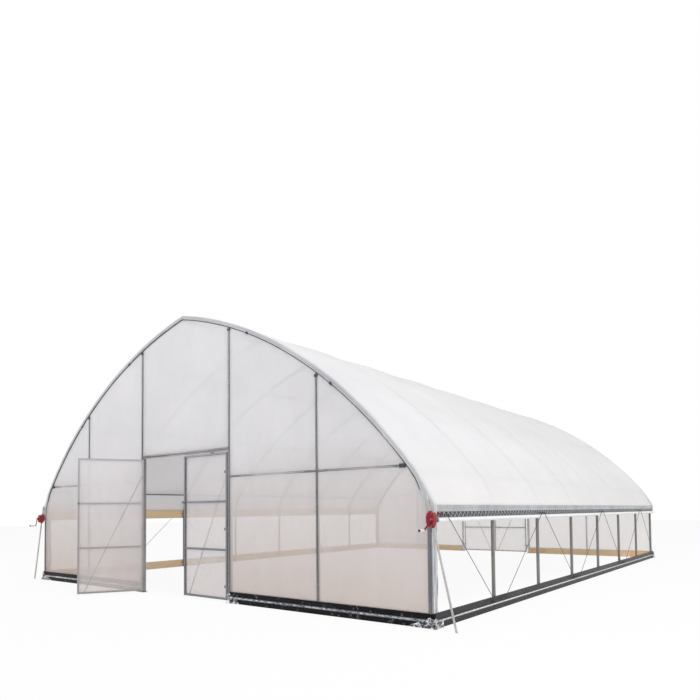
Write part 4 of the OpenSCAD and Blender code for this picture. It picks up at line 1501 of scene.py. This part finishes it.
def makeCrank(side):
    name = f"{side}_crank"
    pin = Vector(next(j for j in frame["joints"] if j["child"] == name)["pos_m"])
    ahead = Vector((math.cos(crankAngle[side]), 0, math.sin(crankAngle[side])))
    spot = axes(pin + Vector((0, crank["thick"] / 2, 0)), ahead, (0, -1, 0))
    outline = []
    wide = crank["wide"] / 2
    for middle, radius, start in ((0.0, wide, 90), (crank["arm"], wide - 0.002, -90)):
        for i in range(13):
            angle = math.radians(start + 180 * i / 12)
            outline.append((middle + radius * math.cos(angle), radius * math.sin(angle)))
    arm, steel, grip, cap = emptyShape(), emptyShape(), emptyShape(), emptyShape()
    thick = crank["thick"]
    addPrism(arm, spot, outline, thick, 0.0014)
    boss = [(0.0150, -0.001), (0.0158, 0.0), (0.0158, thick + 0.003), (0.0140, thick + 0.005)]
    addLathe(arm, spot, boss, 24)
    # stiffening rib pressed along the arm
    rib = spot @ Matrix.Translation((crank["arm"] / 2, 0, crank["thick"]))
    addBlock(arm, rib, (crank["arm"] - 0.045, 0.007, 0.004), 0.0015)
    tip = spot @ Matrix.Translation((0, 0, crank["thick"]))
    addBolt(steel, tip @ Vector((0, 0, 0.0045)), (0, -1, 0), 0.0085)
    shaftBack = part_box(name)[1].y - pin.y
    r = crank["shaft"]
    shaft = [(r, 0.003), (r, shaftBack - 0.001), (r - 0.001, shaftBack)]
    addLathe(steel, axes(pin, ahead, (0, 1, 0)), shaft, 20)
    end = tip @ Matrix.Translation((crank["arm"], 0, 0))
    rivet = [(0.0075, 0), (0.0085, 0.0008), (0.0085, 0.0025), (0.0045, 0.003), (0.0045, 0.022)]
    addLathe(steel, end @ Matrix.Translation((0, 0, -thick - 0.003)), rivet, 16)
    g = crank["grip"]
    turned = [(0.0075, 0.0008), (0.0105, 0.0015), (0.0120, 0.0050), (0.0132, 0.0180), (g, 0.0450)]
    turned += [(g, 0.0700), (0.0132, 0.0920), (0.0128, 0.0985), (0.0095, 0.0990)]
    addLathe(grip, end, turned, 28)
    long = crank["gripLong"]
    top = [(0.0095, 0.0990), (0.0133, 0.0995), (0.0139, 0.1030), (0.0139, long - 0.006)]
    addLathe(cap, end, top + [(0.0110, long - 0.001), (0.0050, long)], 28)
    bar = finishShape(f"{side}_crank_arm", arm, "enamel", name, 30)
    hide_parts(name)
    finishShape(f"{side}_crank_shaft", steel, "bolt", name)
    finishShape(f"{side}_crank_grip", grip, "grip", name, 50)
    finishShape(f"{side}_crank_cap", cap, "black", name)


def makePoleEnds(side, sign):
    # cap on top, bolt through the bracket
    cap, bolts = emptyShape(), emptyShape()
    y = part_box(f"{side}_winch")[0].y + pole["behind"]
    rim = poleHigh - 0.030
    lean = axes((sign * poleX(rim), y, rim), (0, 1, 0), poleLean(sign))
    dome = [(0.0132, 0), (0.0142, 0.001), (0.0142, 0.026), (0.0120, 0.031), (0.004, 0.032)]
    addLathe(cap, lean, dome, 24)
    for z in pole["boltHeights"]:
        addBolt(bolts, (sign * (poleX(z) - 0.002), y - 0.0125, z), (0, -1, 0), 0.0055, washer=False)
    finishShape(f"{side}_pole_cap", cap, "pole")
    finishShape(f"{side}_pole_bolts", bolts, "bolt")


for side, sign in sides:
    makeWinch(side, sign)
    makeCrank(side)
    makePoleEnds(side, sign)
print("stage: winches and cranks")

leafParts = {
    "braceWide": 0.020,
    "braceThick": 0.003,
    "braceFoot": (0.940, 0.050),  # across the leaf and up, on the bottom rail
    "braceHead": (0.040, 1.960),  # on the hinge stile
    "braceOut": 0.0052,  # inside the tubes' face
    "railHeights": (0.035, 0.767, 1.498, 2.230),
    "railBolt": 0.015,  # from each end of a rail
    "tube": 0.030,
    "hingeHeights": (0.215, 1.0775, 1.940),
    "hingeBolts": (0.034, 0.056),  # from the pin
}


def makeLeafParts(name):
    matrix = leafPlace(name)
    brace, bolts = emptyShape(), emptyShape()
    inner = pinOut + leafParts["tube"] / 2
    turn = matrix.to_3x3()
    inward, outward = turn @ Vector((0, 1, 0)), turn @ Vector((0, -1, 0))
    outer = inner - leafParts["tube"]
    (x0, z0), (x1, z1) = leafParts["braceFoot"], leafParts["braceHead"]
    y = inner + leafParts["braceOut"]
    start, end = Vector((x0, y, z0)), Vector((x1, y, z1))
    along = (end - start).normalized()
    across = along.cross(Vector((0, 1, 0)))
    half, thick = leafParts["braceWide"] / 2, leafParts["braceThick"] / 2
    flat = [(-half, -thick), (half, -thick), (half, thick), (-half, thick)]
    addProfile(brace, flat, matrix @ start, matrix @ end, turn @ across, inward)
    for spot in (start, end):
        addBolt(bolts, matrix @ (spot + Vector((0, thick, 0))), inward, 0.0065)
    width = leaf["edgeGap"] + leaf["width"]
    for z in leafParts["railHeights"]:
        for x in (leaf["edgeGap"] + leafParts["railBolt"], width - leafParts["railBolt"]):
            addBolt(bolts, matrix @ Vector((x, outer - 0.0002, z)), outward, 0.0052)
    for z in leafParts["hingeHeights"]:
        for x in leafParts["hingeBolts"]:
            addBolt(bolts, matrix @ Vector((x, outer - 0.0052, z)), outward, 0.0050, washer=False)
    look = "brace" if name.startswith("front") else "backFrame"
    finishShape(f"{name}_brace", brace, look, name)
    finishShape(f"{name}_bolts", bolts, "bolt", name)


for name in hinges:
    makeLeafParts(name)
print("stage: leaf braces and bolts")

foot = {
    "plate": (0.110, 0.090, 0.005),
    "boltX": 0.043,
    "boltY": 0.030,
    "clampBand": 0.030,
    "strap": 0.026,
    "strapThick": 0.0025,
    "strapSteps": 12,
    "strapEar": (0.0026, 0.030),
    "earOut": 0.0235,  # from the leg's middle
    "earY": 0.041,
    "earBolt": (0.0220, 0.043),
    "clampThick": 0.0030,
}


def makeFeet(end, y, out):
    # plates under the door posts, with their bolts
    plates, bolts = emptyShape(), emptyShape()
    for sign in (-1, 1):
        middle = (sign * gable["doorX"], y + out * 0.006, foot["plate"][2] / 2 + 0.0005)
        addBlock(plates, Matrix.Translation(middle), foot["plate"], 0.001)
        for dx in (-foot["boltX"], foot["boltX"]):
            for dy in (-foot["boltY"], foot["boltY"]):
                spot = (middle[0] + dx, middle[1] + dy, foot["plate"][2] + 0.0005)
                addBolt(bolts, spot, (0, 0, 1), 0.0065)
    finishShape(f"{end}_post_plates", plates, "post", smoothAngle=30)
    finishShape(f"{end}_post_bolts", bolts, "bolt")


def makeHoopStraps():
    # saddle straps that hold each hoop's legs to the boards, seen from inside
    straps, bolts = emptyShape(), emptyShape()
    r = arch["hoopRadius"] + 0.0004
    wide, steps = foot["strap"], foot["strapSteps"]
    turns = [math.pi * k / steps for k in range(steps + 1)]
    outline = [(r * math.cos(a), r * math.sin(a)) for a in turns]
    r += foot["strapThick"]
    turns = [math.pi * (1 - k / steps) for k in range(steps + 1)]
    outline += [(r * math.cos(a), r * math.sin(a)) for a in turns]
    n = len(outline)
    faces = [(k, (k + 1) % n, n + (k + 1) % n, n + k) for k in range(n)]
    for base in (0, n):
        faces += [(base + k, base + k + 1, base + n - 2 - k, base + n - 1 - k) for k in range(n // 2 - 1)]
    for i in range(hoops):
        y = frontY + i * bay
        for sign in (-1, 1):
            for z in (baseHigh * 0.62, (hipLow.z + boardHigh.z) / 2 - 0.02):
                verts = []
                for h in (-wide / 2, wide / 2):
                    verts += [(sign * (arch["legX"] - b), y + a, z + h) for a, b in outline]
                addMesh(straps, verts, faces)
                for step in (-1, 1):
                    ear = (sign * (arch["legX"] + foot["earOut"]), y + step * foot["earY"], z)
                    addBlock(straps, Matrix.Translation(ear), (*foot["strapEar"], wide), 0.0008)
                    boltX, boltY = foot["earBolt"]
                    spot = (sign * (arch["legX"] + boltX), y + step * boltY, z)
                    addBolt(bolts, spot, (-sign, 0, 0), 0.006)
    finishShape("hoop_leg_straps", straps, "bolt", smoothAngle=30)
    finishShape("hoop_leg_bolts", bolts, "bolt")


def makePurlinClamps():
    # a band with its bolt where each purlin passes under a hoop
    bands, bolts = emptyShape(), emptyShape()
    found = []
    for node in ("ridge_purlin", "upper_purlins", "lower_purlins", "side_purlins"):
        verts = frame["nodes"][node].data.vertices
        for side in (-1, 1):
            spots = [v.co for v in verts if v.co.x * side > 0.3] or [v.co for v in verts]
            lowX, highX = min(c.x for c in spots), max(c.x for c in spots)
            lowZ, highZ = min(c.z for c in spots), max(c.z for c in spots)
            found.append(((lowX + highX) / 2, (lowZ + highZ) / 2, (highZ - lowZ) / 2))
    found = sorted(set((round(x, 4), round(z, 4), round(r, 4)) for x, z, r in found))
    wide = foot["clampBand"]
    for x, z, r in found:
        rim = r + foot["clampThick"]
        band = [(r + 0.0004, 0), (rim, 0.0006), (rim, wide - 0.0006), (r + 0.0004, wide)]
        for i in range(hoops):
            y = min(max(frontY + i * bay, frontY + wide), backY - wide)
            addLathe(bands, axes((x, y - wide / 2, z), (1, 0, 0), (0, 1, 0)), band, 24)
            addBolt(bolts, (x, y, z - rim), (0, 0, -1), 0.0065, stick=0.006)
    finishShape("purlin_clamps", bands, "bolt", smoothAngle=30)
    finishShape("purlin_bolts", bolts, "bolt")


for end, y, out in ends:
    makeFeet(end, y, out)
makeHoopStraps()
makePurlinClamps()
print("stage: feet, straps and clamps")
